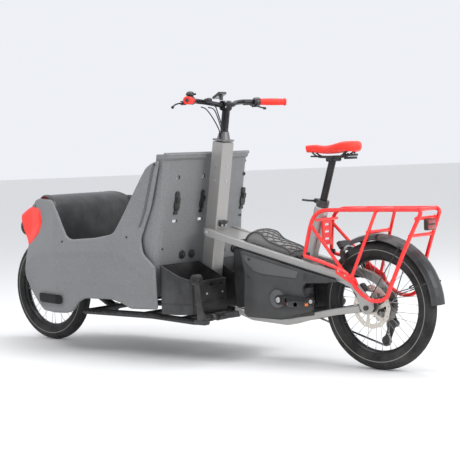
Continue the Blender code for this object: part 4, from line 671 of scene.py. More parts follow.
def strip(points, width_axis, width, thickness):
    """A flat strap along points, with its broad side across width_axis."""
    made = bmesh.new()
    spots = [Vector(point) for point in points]
    wide = Vector(width_axis).normalized() * width / 2
    rings = []
    for number, spot in enumerate(spots):
        along = spots[min(len(spots) - 1, number + 1)] - spots[max(0, number - 1)]
        out = along.cross(wide).normalized() * thickness / 2
        ring = [made.verts.new(spot + wide * a + out * b) for a, b in ((1, 1), (-1, 1), (-1, -1), (1, -1))]
        rings.append(ring)
    for low, high in zip(rings, rings[1:]):
        for step in range(4):
            after = (step + 1) % 4
            made.faces.new((low[step], low[after], high[after], high[step]))
    made.faces.new(rings[0][::-1])
    made.faces.new(rings[-1])
    return made


def plate(outline, thickness, matrix, bevel=0.0, holes=()):
    """A flat plate from an outline in its own X-Y plane, with holes as outlines."""
    made = bmesh.new()
    edges = []
    for loop in (outline, *holes):
        spots = [made.verts.new((x, y, 0)) for x, y in loop]
        edges.extend(made.edges.new((spots[n - 1], spots[n])) for n in range(len(spots)))
    bmesh.ops.triangle_fill(made, use_beauty=True, use_dissolve=False, edges=edges)
    if holes:
        bad = [face for face in made.faces if any(inside(face.calc_center_median().xy, hole) for hole in holes)]
        bmesh.ops.delete(made, geom=bad, context="FACES")
    bmesh.ops.dissolve_limit(made, angle_limit=0.01, verts=made.verts, edges=made.edges)
    bmesh.ops.recalc_face_normals(made, faces=made.faces)
    grown = bmesh.ops.extrude_face_region(made, geom=made.faces[:])
    bmesh.ops.translate(made, vec=(0, 0, thickness),
                        verts=[item for item in grown["geom"] if isinstance(item, bmesh.types.BMVert)])
    bmesh.ops.translate(made, vec=(0, 0, -thickness / 2), verts=made.verts)
    bmesh.ops.recalc_face_normals(made, faces=made.faces)
    if bevel > 0:
        rim = [edge for edge in made.edges if edge.calc_face_angle(0.0) > 1.2
               and abs(edge.verts[0].co.z - edge.verts[1].co.z) < 1e-7]
        bmesh.ops.bevel(made, geom=rim, offset=bevel, segments=2, profile=0.5, affect="EDGES", clamp_overlap=True)
    return moved(made, matrix)


def inside(spot, outline):
    """Whether a flat point lies inside an outline."""
    found = False
    for number in range(len(outline)):
        (x0, y0), (x1, y1) = outline[number - 1], outline[number]
        if (y0 > spot[1]) != (y1 > spot[1]) and spot[0] < (x1 - x0) * (spot[1] - y0) / (y1 - y0) + x0:
            found = not found
    return found


def circle(radius, steps=24, centre=(0, 0), start=0.0):
    return [(centre[0] + radius * math.cos(start + math.tau * step / steps),
             centre[1] + radius * math.sin(start + math.tau * step / steps)) for step in range(steps)]


def rounded(points, radius, steps=4):
    """An outline with its corners rounded."""
    found = []
    for number, here in enumerate(points):
        here = Vector(here)
        before, later = Vector(points[number - 1]), Vector(points[(number + 1) % len(points)])
        reach = min(radius, (before - here).length * 0.45, (later - here).length * 0.45)
        first = here + (before - here).normalized() * reach
        last = here + (later - here).normalized() * reach
        for step in range(steps + 1):
            share = step / steps
            spot = first * (1 - share) ** 2 + here * 2 * share * (1 - share) + last * share ** 2
            found.append((spot.x, spot.y))
    return found


def screw(at, out, radius=0.004, height=0.0025):
    """A round-headed screw with a hexagon socket."""
    sunk = radius * 0.5
    profile = [(0, height * 0.35), (sunk, height * 0.35), (sunk, height * 0.95), (sunk * 1.15, height),
               (radius * 0.8, height * 0.92), (radius, height * 0.5), (radius, -height)]
    made = lathe(profile, out, at, 18)
    return made


def washer_bolt(at, out, radius=0.006, height=0.005):
    """A hexagon bolt head on a washer."""
    base = lathe([(0, 0.0012), (radius * 1.35, 0.0012), (radius * 1.45, 0.0006), (radius * 1.45, -0.002)],
                 out, at, 24)
    head = bmesh.new()
    bmesh.ops.create_cone(head, cap_ends=True, segments=6, radius1=radius, radius2=radius * 0.93, depth=height)
    moved(head, facing(out, Vector(at) + Vector(out).normalized() * height / 2))
    return joined([base, head])


def along_y(y, x=0.0, z=0.0):
    """A matrix that lays a flat outline into the X-Z plane at a sideways place."""
    return Matrix(((1, 0, 0, x), (0, 0, 1, y), (0, 1, 0, z), (0, 0, 0, 1)))


def dress(name, **materials):
    """Procedural material on a node of the frame that stays shown, with softened edges."""
    found = bpy.data.objects[name]
    found.data.materials.clear()
    found.data.materials.append(finish(materials["material"]))
    width = materials.get("bevel", 0.0)
    if width:
        bevel = found.modifiers.new("Softened edges", "BEVEL")
        bevel.width = width
        bevel.segments = 2
        bevel.limit_method = "ANGLE"
        bevel.angle_limit = math.radians(35)
        bevel.use_clamp_overlap = True
        bevel.harden_normals = False
    for polygon in found.data.polygons:
        polygon.use_smooth = materials.get("smooth", True)
    if materials.get("smooth", True):
        found.data.set_sharp_from_angle(angle=math.radians(32))
    return found


def replace(nodes, pieces, body):
    """Hides frame nodes behind new pieces and lets those pieces move with a body."""
    pieces = pieces if isinstance(pieces, (list, tuple)) else [pieces]
    nodes = [nodes] if isinstance(nodes, str) else nodes
    for piece in pieces:
        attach(piece, body)
    for name in nodes:
        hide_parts(name)
    return pieces


CRANK_LENGTH = 0.170
CRANK_OUT = 0.133
CRANK_WAY = X
UPPER_JOCKEY = (REAR_AXLE.x + 0.024, REAR_AXLE.z - 0.084)
LOWER_JOCKEY = (REAR_AXLE.x - 0.004, REAR_AXLE.z - 0.152)


# ---------------------------------------------------------------- wheels
RIM_RADIUS = 0.2025
TYRE_HALF = 0.030
FLANGE_RADIUS = 0.030


def tyre_skin(axle):
    """A treaded tyre: two centre ribs, slanted blocks and shoulder bars, down to the beads."""
    depth = sizes().tread_depth
    middle = (WHEEL_RADIUS + RIM_RADIUS) / 2 + 0.0012
    tall = WHEEL_RADIUS - middle
    around, across = 324, 33
    made = bmesh.new()
    rings = []
    for step in range(around):
        turn = math.tau * step / around
        ring = []
        for row in range(across):
            lean = math.radians(-132 + 264 * row / (across - 1))
            reach = abs(math.degrees(lean))
            slant = (step + int(reach / 9)) % 6
            cut = 0.0
            if 9 < reach < 17:
                cut = 0.8
            elif 17 <= reach < 42:
                cut = 1.0 if slant == 0 else 0.0
            elif 42 <= reach < 50:
                cut = 0.7
            elif 50 <= reach < 68:
                cut = 0.9 if slant in (0, 3) else 0.0
            radius = middle + (tall - depth * cut) * math.cos(lean)
            wide = (TYRE_HALF - depth * cut * abs(math.sin(lean)) * 0.6) * math.sin(lean)
            if reach > 118:
                radius = RIM_RADIUS - 0.002 + (132 - reach) * 0.0006
            ring.append(made.verts.new((radius * math.cos(turn), wide, radius * math.sin(turn))))
        rings.append(ring)
    for step in range(around):
        here, after = rings[step - 1], rings[step]
        for row in range(across - 1):
            made.faces.new((here[row], here[row + 1], after[row + 1], after[row]))
        made.faces.new((here[across - 1], here[0], after[0], after[across - 1]))
    return moved(made, Matrix.Translation(axle))


def side_ring(axle, radius, y, wide, lift=0.0004):
    """A thin printed ring on each sidewall."""
    rings = []
    for side in (-1, 1):
        profile = [(radius - wide / 2, side * (y + 0.0002)), (radius, side * (y + lift + 0.0004)),
                   (radius + wide / 2, side * (y + 0.0002)), (radius, side * (y - 0.001))]
        rings.append(lathe(profile, Y, axle, 120, True))
    return joined(rings)


def rim_skin(axle):
    """Deep double-walled rim with hooked edges."""
    half = 0.0172
    profile = [(RIM_RADIUS + 0.0065, half - 0.002), (RIM_RADIUS + 0.0070, half), (RIM_RADIUS + 0.0012, half),
               (RIM_RADIUS - 0.0040, half * 0.93), (RIM_RADIUS - 0.0125, half * 0.62),
               (RIM_RADIUS - 0.0158, half * 0.34), (RIM_RADIUS - 0.0166, 0)]
    profile += [(radius, -y) for radius, y in profile[-2::-1]]
    profile += [(RIM_RADIUS - 0.001, -half + 0.003), (RIM_RADIUS - 0.001, half - 0.003)]
    return lathe(profile, Y, axle, 96, True)


def laced(axle, flanges):
    """Crossed spokes with their bent heads, and the nipples in the rim."""
    count = sizes().spokes
    thick = sizes().spoke_width / 2
    wires, nipples = [], []
    for number in range(count):
        side = number % 2
        lead = 1 if number % 4 < 2 else -1
        at_rim = math.tau * number / count + math.radians(2.8)
        at_hub = at_rim + lead * math.radians(58)
        hub = Vector((math.cos(at_hub), 0, math.sin(at_hub))) * (FLANGE_RADIUS - 0.004)
        rim = Vector((math.cos(at_rim), 0, math.sin(at_rim))) * (RIM_RADIUS - 0.0130)
        hub.y, rim.y = flanges[side] + lead * 0.0022, flanges[side] * 0.12
        head = Vector((hub.x, flanges[side] - lead * 0.0030, hub.z))
        along = (rim - hub).normalized()
        wires.append(tube([axle + head, axle + hub, axle + hub + along * 0.004, axle + rim], thick, 6))
        nipples.append(tube([axle + rim - along * 0.013, axle + rim - along * 0.0125, axle + rim],
                            [0.0014, 0.0020, 0.0022], 8))
    return joined(wires), joined(nipples)


def hub_skin(axle, width, flanges, right_nose):
    """Waisted hub shell with two drilled-looking flanges, end caps and seals."""
    half = width / 2 - 0.001
    profile = [(0.0065, -half), (0.0110, -half), (0.0112, -half + 0.008), (0.0125, -half + 0.009),
               (0.0220, -half + 0.011), (0.0225, flanges[0] - 0.006), (0.0240, flanges[0] - 0.0025)]
    for number, y in enumerate(flanges):
        profile += [(FLANGE_RADIUS - 0.001, y - 0.0022), (FLANGE_RADIUS, y - 0.0012), (FLANGE_RADIUS, y + 0.0012),
                    (FLANGE_RADIUS - 0.001, y + 0.0022), (0.0210, y + 0.0026)]
        if number == 0:
            profile += [(0.0165, y + 0.008), (0.0150, (flanges[0] + flanges[1]) / 2), (0.0165, flanges[1] - 0.008),
                        (0.0210, flanges[1] - 0.0026)]
    profile += [(right_nose, flanges[1] + 0.006), (right_nose, half - 0.012), (0.0112, half - 0.011),
                (0.0110, half), (0.0065, half)]
    return lathe(profile, Y, axle, 40, True)


def valve(axle):
    """A stub of tyre valve with its cap, pointing at the hub."""
    way = Vector((math.cos(0.5), 0, math.sin(0.5)))
    foot = axle + way * (RIM_RADIUS - 0.014)
    return tube([foot, foot - way * 0.012, foot - way * 0.013, foot - way * 0.024, foot - way * 0.026],
                [0.0030, 0.0026, 0.0034, 0.0034, 0.0020], 12)


def wave_disc(y, axle):
    """Petal-edged brake disc: drilled braking ring on raked arms, and its lock ring."""
    steps = 144
    outline = [((0.0885 + 0.0014 * math.cos(12 * a)) * math.cos(a), (0.0885 + 0.0014 * math.cos(12 * a)) * math.sin(a))
               for a in (math.tau * n / steps for n in range(steps))]
    holes = [circle(0.0225, 32)]
    for arm in range(6):
        start = math.tau * arm / 6
        low = [(0.0335 * math.cos(start + a), 0.0335 * math.sin(start + a)) for a in (0.16, 0.48, 0.80)]
        high = [((0.0690 - 0.002 * math.cos(12 * (start + a))) * math.cos(start + a + 0.24),
                 (0.0690 - 0.002 * math.cos(12 * (start + a))) * math.sin(start + a + 0.24))
                for a in (0.90, 0.70, 0.50, 0.30, 0.10)]
        holes.append(rounded(low + high, 0.004, 2))
        for step in range(4):
            spot = start + math.tau / 24 * step + 0.06
            reach = 0.0745 if step % 2 else 0.0815
            holes.append(circle(0.0027, 10, (reach * math.cos(spot), reach * math.sin(spot))))
    disc = plate(outline, 0.0019, along_y(y + 0.001, axle.x, axle.z), 0.0, holes)
    ring = lathe([(0.0120, -0.0040), (0.0215, -0.0040), (0.0235, -0.0020), (0.0235, 0.0022), (0.0120, 0.0022)],
                 Y, axle + Y * (y + 0.0006), 24, True)
    return disc, ring


def build_wheel(word, axle, body, width, flanges, right_nose, disc_y):
    """All of one wheel: tyre, rim, spokes, hub and brake disc."""
    wires, nipples = laced(axle, flanges)
    disc, lock_ring = wave_disc(disc_y, axle)
    tyre = to_object(f"{word}_tyre_tread", tyre_skin(axle), "rubber", angle=30)
    stripe = to_object(f"{word}_tyre_stripe", side_ring(axle, 0.2305, 0.0294, 0.0040), "stripe")
    beads = to_object(f"{word}_tyre_bead_line", side_ring(axle, 0.2170, 0.0252, 0.0022), "sidewall")
    rim = to_object(f"{word}_rim", rim_skin(axle), "anodised")
    spokes = to_object(f"{word}_spokes", wires, "spoke")
    ends = to_object(f"{word}_nipples", nipples, "bolt")
    hub = to_object(f"{word}_hub", hub_skin(axle, width, flanges, right_nose), "anodised")
    stem = to_object(f"{word}_valve", valve(axle), "soft_black")
    rotor = to_object(f"{word}_brake_disc", disc, "steel", angle=30)
    ring = to_object(f"{word}_disc_lock_ring", lock_ring, "black_metal")
    replace(f"{word}_tyre", [tyre, stripe, beads], body)
    replace(f"{word}_wheel", [rim, spokes, ends, hub, stem], body)
    replace(f"{word}_rotor", [rotor, ring], body)


# ---------------------------------------------------------------- drive
CHAIN_Y = 0.047
RING_RADIUS = 0.070
COG_RADIUS = 0.042


def toothed(radius, teeth, depth=0.0042):
    """The outline of a sprocket."""
    spots = []
    for tooth in range(teeth):
        turn = math.tau * tooth / teeth
        step = math.tau / teeth
        for share, reach in ((0.0, -0.55), (0.18, -0.45), (0.36, 0.25), (0.46, 0.5), (0.54, 0.5), (0.64, 0.25),
                             (0.82, -0.45)):
            spots.append(((radius + depth * reach) * math.cos(turn + share * step),
                          (radius + depth * reach) * math.sin(turn + share * step)))
    return spots


def cassette_stack():
    """Eight sprockets with cut-outs, on a splined carrier."""
    cogs = []
    for number in range(8):
        radius = 0.072 - 0.006 * number
        holes = [circle(0.0182, 24)]
        if radius > 0.045:
            for slot in range(6):
                turn = math.tau * slot / 6 + number * 0.2
                reach = (radius + 0.020) / 2
                holes.append(rounded([(reach * math.cos(turn) + dx, reach * math.sin(turn) + dz)
                                      for dx, dz in ((-.006, -.006), (.006, -.006), (.006, .006), (-.006, .006))],
                                     0.004, 2))
        outline = toothed(radius - 0.0006, 34 - 3 * number)
        at = along_y(0.0270 + 0.0040 * number, REAR_AXLE.x, REAR_AXLE.z)
        cogs.append(plate(outline, 0.0019, at, 0.0, holes))
    profile = [(0.0182, 0.0262), (0.0225, 0.0262), (0.0225, 0.0562), (0.0182, 0.0562)]
    sleeve = lathe(profile, Y, Vector((REAR_AXLE.x, 0, REAR_AXLE.z)), 30, True)
    return joined(cogs), sleeve


def chain_path():
    """The chain's middle line round the ring, the sprocket and the two jockey wheels."""
    wheels = [(CRANK.x, CRANK.z, RING_RADIUS, 1), (REAR_AXLE.x, REAR_AXLE.z, COG_RADIUS, 1),
              (UPPER_JOCKEY[0], UPPER_JOCKEY[1], 0.0215, -1), (LOWER_JOCKEY[0], LOWER_JOCKEY[1], 0.0215, 1)]
    spots = []
    count = len(wheels)
    tangents = []
    for number in range(count):
        x0, z0, r0, s0 = wheels[number]
        x1, z1, r1, s1 = wheels[(number + 1) % count]
        way = Vector((x1 - x0, z1 - z0))
        reach = way.length
        way.normalize()
        lean = math.asin((s0 * r0 - s1 * r1) / reach)
        base = math.atan2(way.y, way.x) + math.pi / 2
        turn = base - lean
        out = Vector((math.cos(turn), math.sin(turn)))
        tangents.append((Vector((x0, z0)) + out * r0 * s0, Vector((x1, z1)) + out * r1 * s1))
    for number in range(count):
        x, z, radius, sign = wheels[number]
        arrive, leave = tangents[number - 1][1], tangents[number][0]
        first = math.atan2(arrive.y - z, arrive.x - x)
        last = math.atan2(leave.y - z, leave.x - x)
        sweep = (first - last) % math.tau if sign > 0 else -((last - first) % math.tau)
        steps = max(3, int(abs(sweep) * radius / 0.006))
        for step in range(steps + 1):
            turn = first - sweep * step / steps
            spots.append(Vector((x + radius * math.cos(turn), CHAIN_Y, z + radius * math.sin(turn))))
    return spots


def linked_chain():
    """Inner and outer links with their rollers, all along the chain's path."""
    path = chain_path()
    path.append(path[0])
    lengths = [0.0]
    for before, here in zip(path, path[1:]):
        lengths.append(lengths[-1] + (here - before).length)
    count = int(lengths[-1] / 0.0127 / 2) * 2
    pitch = lengths[-1] / count

    def spot(reach):
        reach %= lengths[-1]
        for number in range(1, len(lengths)):
            if lengths[number] >= reach:
                part = (reach - lengths[number - 1]) / max(1e-9, lengths[number] - lengths[number - 1])
                return path[number - 1].lerp(path[number], part)
        return path[-1]

    links, rollers = [], []
    outline = rounded([(-0.0062, -0.0040), (0, -0.0026), (0.0062, -0.0040), (0.0106, 0), (0.0062, 0.0040),
                       (0, 0.0026), (-0.0062, 0.0040), (-0.0106, 0)], 0.003, 2)
    for number in range(count):
        first, last = spot(number * pitch), spot((number + 1) * pitch)
        middle = (first + last) / 2
        way = (last - first).normalized()
        turn = Matrix(((way.x, 0, -way.z, 0), (0, 1, 0, 0), (way.z, 0, way.x, 0), (0, 0, 0, 1)))
        gap = 0.0026 if number % 2 else 0.0036
        for side in (-1, 1):
            flat = plate(outline, 0.0009, Matrix(((1, 0, 0, 0), (0, 0, 1, 0), (0, 1, 0, 0), (0, 0, 0, 1))))
            links.append(moved(flat, Matrix.Translation(middle + Y * side * gap) @ turn))
        rollers.append(lathe([(0, -0.0044), (0.0022, -0.0044), (0.0022, -0.0022), (0.0038, -0.0022),
                              (0.0038, 0.0022), (0.0022, 0.0022), (0.0022, 0.0044), (0, 0.0044)], Y, first, 10))
    return joined(links), joined(rollers)


def jockey(place_x, place_z):
    outline = toothed(0.0195, 11, 0.004)
    return plate(outline, 0.0030, along_y(CHAIN_Y, place_x, place_z), 0.0, [circle(0.0045, 12)])


def crank_side(side):
    """A tapered arm with a relieved face, its spindle end and pedal eye."""
    out = side * CRANK_OUT
    reach = CRANK_LENGTH
    way = CRANK_WAY * -side
    outline = []
    for turn in range(0, 181, 20):
        a = math.radians(90 + turn)
        outline.append((0.0210 * math.cos(a), 0.0210 * math.sin(a)))
    for turn in range(0, 181, 20):
        a = math.radians(-90 + turn)
        outline.append((reach + 0.0150 * math.cos(a), 0.0150 * math.sin(a)))
    slot = rounded([(0.034, -0.0085), (reach - 0.026, -0.0058), (reach - 0.026, 0.0058), (0.034, 0.0085)], 0.005)
    turn = Matrix(((way.x, 0, -way.z, CRANK.x), (0, 1, 0, out), (way.z, 0, way.x, CRANK.z), (0, 0, 0, 1)))
    flat = Matrix(((1, 0, 0, 0), (0, 0, 1, 0), (0, 1, 0, 0), (0, 0, 0, 1)))
    face = plate(outline, 0.007, Matrix.Translation(Y * side * 0.0030) @ flat, 0.0015, [slot])
    core = plate([(x * 0.985 + 0.001, z * 0.96) for x, z in outline], 0.0075, Matrix.Translation(Y * -side * 0.003) @ flat,
                 0.001)
    bolt = lathe([(0, 0.0), (0.0060, 0.0), (0.0068, 0.0035), (0.0100, 0.0045), (0.0115, 0.0030), (0.0115, -0.004)],
                 Y * side, Y * side * 0.0072, 24)
    eye = lathe([(0, 0.0), (0.0030, 0.0), (0.0042, 0.0022), (0.0078, 0.0022), (0.0085, 0.0010), (0.0085, -0.004)],
                Y * side, Vector((reach, side * 0.0072, 0)), 20)
    return moved(joined([face, core]), turn), moved(joined([bolt, eye]), turn)


def pedal_pieces(side):
    """A flat cage pedal with a grip top, its axle and two amber reflectors."""
    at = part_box("pedal_left" if side < 0 else "pedal_right")
    low, high = Vector(at[0]), Vector(at[1])
    centre = (low + high) / 2
    pivot = Vector(JOINTS["left_pedal_spin" if side < 0 else "right_pedal_spin"]["pos_m"])
    size = high - low
    inner = pivot.y + side * 0.014
    outer = (low.y if side < 0 else high.y)
    wide = abs(outer - inner)
    middle_y = (outer + inner) / 2
    long = size.x * 0.98
    ring = rounded([(-long / 2, -wide / 2), (long / 2, -wide / 2), (long / 2, wide / 2), (-long / 2, wide / 2)], 0.012)
    hole = rounded([(-long / 2 + 0.016, -wide / 2 + 0.010), (-0.010, -wide / 2 + 0.010),
                    (-0.010, wide / 2 - 0.010), (-long / 2 + 0.016, wide / 2 - 0.010)], 0.006)
    other = [(-x, y) for x, y in hole][::-1]
    place = Matrix.Translation((centre.x, middle_y, pivot.z))
    cage = plate(ring, 0.018, place, 0.003, [hole, other])
    rods = [lathe([(0.0, -wide / 2), (0.0095, -wide / 2), (0.0085, wide * 0.42), (0, wide * 0.42)], Y,
                  Vector((centre.x, middle_y, pivot.z)), 20)]
    rods.append(lathe([(0, 0), (0.0068, 0), (0.0068, 0.020), (0, 0.020)], Y * side,
                      Vector((pivot.x, pivot.y - side * 0.004, pivot.z)), 16))
    studs = []
    for x in (-0.030, -0.015, 0.015, 0.030):
        for y in (-0.40, 0.40):
            for up in (-1, 1):
                studs.append(lathe([(0, 0.0018), (0.0016, 0.0014), (0.0022, -0.001)], Z * up,
                                   Vector((centre.x + x, middle_y + y * wide, pivot.z + up * 0.0092)), 8))
    lamps = [box((0.0035, wide * 0.62, 0.0115), (centre.x + end * (long / 2 + 0.0004), middle_y, pivot.z), None, 0.001)
             for end in (-1, 1)]
    return joined([cage, *studs]), joined(rods), joined(lamps)


# ---------------------------------------------------------------- cargo box
BOX_HALF = 0.330
NOSE_START = -0.62
BADGE = (-0.680, 0.255)


def half_width(x, z):
    """Outer half-width of the box at a place along the bicycle and a height."""
    ahead = max(0.0, NOSE_START - x)
    crease = 0.470 - 0.30 * min(ahead, 0.40)
    upper = min(max(0.0, z - crease), 0.20)
    slant = 0.45 * upper * min(1.0, max(0.0, (ahead + 0.12) / 0.45))
    tuck = 0.055 * max(0.0, crease - z)
    return BOX_HALF - 0.27 * ahead - slant - tuck


PANEL_FRONT = [(-0.915, 0.718), (-0.952, 0.684), (-0.862, 0.668), (-0.846, 0.600), (-0.864, 0.554),
               (-0.920, 0.520), (-0.972, 0.500), (-0.957, 0.442), (-0.929, 0.403), (-0.916, 0.347),
               (-0.870, 0.281), (-0.804, 0.222), (-0.759, 0.191)]
PANEL_FOOT = [(-0.664, 0.187), (-0.554, 0.191), (-0.505, 0.207), (-0.472, 0.246), (-0.424, 0.267),
              (-0.249, 0.269), (-0.176, 0.252), (-0.134, 0.231)]
PANEL_REAR = [(0.036, 0.236), (0.040, 0.425), (0.010, 0.452), (-0.030, 0.485), (-0.047, 0.545),
              (-0.022, 0.610), (0.011, 0.693), (0.072, 0.892)]
PANEL_TOP = [(0.030, 0.884), (-0.012, 0.862), (-0.052, 0.812), (-0.142, 0.689), (-0.206, 0.592),
             (-0.222, 0.574), (-0.245, 0.564), (-0.344, 0.549), (-0.499, 0.540), (-0.530, 0.553),
             (-0.558, 0.594), (-0.612, 0.680), (-0.645, 0.715), (-0.675, 0.724), (-0.857, 0.729)]


def panel_outline():
    """The box side's outline with every corner eased."""
    return rounded(PANEL_FRONT + PANEL_FOOT + PANEL_REAR + PANEL_TOP, 0.016, 4)


def edge_distance(spot, outline):
    """Distance from a flat point to the nearest edge of an outline."""
    nearest = 1.0
    px, pz = spot
    for number in range(len(outline)):
        (x0, z0), (x1, z1) = outline[number - 1], outline[number]
        dx, dz = x1 - x0, z1 - z0
        share = max(0.0, min(1.0, ((px - x0) * dx + (pz - z0) * dz) / max(1e-12, dx * dx + dz * dz)))
        nearest = min(nearest, (px - x0 - share * dx) ** 2 + (pz - z0 - share * dz) ** 2)
    return math.sqrt(nearest)


def crease_height(x):
    """Height of the crease that parts the box side's shoulder from its lower body."""
    line = [(-1.10, 0.330), (-0.95, 0.400), (-0.80, 0.462), (-0.70, 0.476), (-0.25, 0.482), (-0.15, 0.462),
            (-0.02, 0.385), (0.06, 0.320)]
    for (x0, z0), (x1, z1) in zip(line, line[1:]):
        if x <= x1:
            share = min(1.0, max(0.0, (x - x0) / (x1 - x0)))
            share = share * share * (3 - 2 * share) * 0.5 + share * 0.5
            return z0 + (z1 - z0) * share
    return line[-1][1]


def inset_outline(outline, reach):
    """The same outline drawn in by a reach, point for point."""
    found = []
    area = sum(outline[n - 1][0] * outline[n][1] - outline[n][0] * outline[n - 1][1] for n in range(len(outline)))
    hand = 1 if area > 0 else -1
    for number in range(len(outline)):
        before, here = Vector(outline[number - 1]), Vector(outline[number])
        later = Vector(outline[(number + 1) % len(outline)])
        way = ((here - before).normalized() + (later - here).normalized()).normalized()
        found.append((here.x - way.y * hand * reach, here.y + way.x * hand * reach))
    return found


def side_skin(side):
    """One moulded box side: a curved skin with a rolled rim, a crease and a pressed lower body."""
    outline = panel_outline()
    edge, wall = sizes().box_edge, sizes().box_wall
    loops = [(0.0, edge * 0.95), (edge * 0.12, edge * 0.52), (edge * 0.38, edge * 0.20), (edge * 0.75, edge * 0.04),
             (edge * 1.2, 0.0)]
    made = bmesh.new()
    rings = []
    for reach, sink in loops:
        drawn = inset_outline(outline, reach) if reach else outline
        rings.append([made.verts.new((x, sink, z)) for x, z in drawn])
    for outer, inner in zip(rings, rings[1:]):
        for number in range(len(outline)):
            made.faces.new((outer[number - 1], outer[number], inner[number], inner[number - 1]))
    flat_edges = []
    for number in range(len(outline)):
        flat_edges.append(made.edges.get((rings[-1][number - 1], rings[-1][number])))
    filled = bmesh.ops.triangle_fill(made, use_beauty=True, use_dissolve=False, edges=flat_edges)
    inner_faces = [item for item in filled["geom"] if isinstance(item, bmesh.types.BMFace)]
    for normal, places in (((1, 0, 0), [-0.98 + 0.02 * n for n in range(54)]),
                           ((0, 0, 1), [0.19 + 0.012 * n for n in range(60)])):
        for spot in places:
            where = Vector(normal) * spot
            geom = list({edge for face in inner_faces for edge in face.edges} | set(inner_faces)
                        | {vert for face in inner_faces for vert in face.verts})
            done = bmesh.ops.bisect_plane(made, geom=geom, plane_co=where, plane_no=normal, dist=1e-5)
            inner_faces = [item for item in done["geom"] if isinstance(item, bmesh.types.BMFace)]
    limit = outline
    for vert in made.verts:
        x, z = vert.co.x, vert.co.z
        sink = vert.co.y
        if sink == 0.0:
            deep = min(1.0, max(0.0, (edge_distance((x, z), limit) - edge * 1.2) / 0.012))
            below = min(1.0, max(0.0, (crease_height(x) - z) / 0.022))
            sink = deep * 0.0085 * below * below * (3 - 2 * below)
        vert.co.y = side * (half_width(x, z) - sink)
        vert.co.x = x + SHIFT
    bmesh.ops.recalc_face_normals(made, faces=made.faces)
    total = sum(face.normal.y * face.calc_area() for face in made.faces)
    if total * side < 0:
        bmesh.ops.reverse_faces(made, faces=made.faces)
    shape = to_object(f"box_side_{'left' if side < 0 else 'right'}", made, "box", angle=50)
    shell = shape.modifiers.new("Wall", "SOLIDIFY")
    shell.thickness = wall
    shell.offset = -1.0
    shell.use_even_offset = False
    return shape


def on_side(x, z, side, out=0.0):
    """A place on the box side, and the way it faces."""
    reach = 0.002
    here = Vector((x + SHIFT, side * half_width(x, z), z))
    along = Vector((2 * reach, side * (half_width(x + reach, z) - half_width(x - reach, z)), 0))
    up = Vector((0, side * (half_width(x, z + reach) - half_width(x, z - reach)), 2 * reach))
    way = up.cross(along).normalized()
    if way.y * side < 0:
        way = -way
    return here + way * out, way


def side_badge(side, word):
    """Blank plate that follows the side's curve, with rounded ends."""
    half_length, half_height, corner = 0.100, 0.0215, 0.012
    made = bmesh.new()
    rows = []
    for column in range(41):
        x = -half_length * math.cos(math.pi * column / 40)
        inward = max(0.0, abs(x) - half_length + corner)
        tall = half_height - corner + math.sqrt(max(0.0, corner ** 2 - inward ** 2))
        rows.append([made.verts.new(on_side(BADGE[0] + x, BADGE[1] + tall * share, side, 0.0022)[0])
                     for share in (-1, -0.5, 0, 0.5, 1)])
    for before, after in zip(rows, rows[1:]):
        for first in range(4):
            made.faces.new((before[first], before[first + 1], after[first + 1], after[first])[::side])
    plate_made = to_object(f"box_badge_{word}", made, "badge", angle=40)
    shell = plate_made.modifiers.new("Thickness", "SOLIDIFY")
    shell.thickness = 0.0030
    shell.offset = 0.0
    return plate_made


def side_details(side):
    """Screws, the blank badge and a dark strip of painted shade down the pillar's groove on one box side."""
    word = "left" if side < 0 else "right"
    screws = []
    for x, z in ((-0.900, 0.690), (-0.555, 0.530), (-0.130, 0.555)):
        spot, way = on_side(x, z, side, 0.0004)
        screws.append(screw(spot, way, 0.005))
    pieces = [to_object(f"box_screws_{word}", joined(screws), "black_plastic")]
    pieces.append(side_badge(side, word))
    # Painted shade: a dark flat strip laid on the skin where the pillar's recess groove falls into shadow; the groove
    # itself is not modelled.
    groove = []
    for z, x in ((0.866, 0.040), (0.800, 0.018), (0.730, -0.004), (0.660, -0.028), (0.600, -0.052)):
        groove.append(Vector((x + SHIFT, side * (half_width(x, z) + 0.0002), z)))
    groove_shade_strip = strip(smooth_path(groove, 5), (1, 0, 0.25), 0.016, 0.003)
    pieces.append(to_object(f"pillar_groove_painted_shade_{word}", groove_shade_strip, "box_painted_shade"))
    top, way = on_side(0.046, 0.874, side, 0.0)
    plug = lathe([(0, 0.0022), (0.0058, 0.0022), (0.0070, 0.0010), (0.0070, -0.004)], way, top, 20)
    pieces.append(to_object(f"pillar_plug_{word}", plug, "black_plastic"))
    return pieces


EYELET_HEIGHT = 0.814
WALL_PATH = [(-0.868, 0.716), (-0.840, 0.732), (-0.790, 0.742), (-0.735, 0.738), (-0.690, 0.716),
             (-0.664, 0.680), (-0.652, 0.630), (-0.644, 0.560), (-0.638, 0.460), (-0.636, 0.300)]


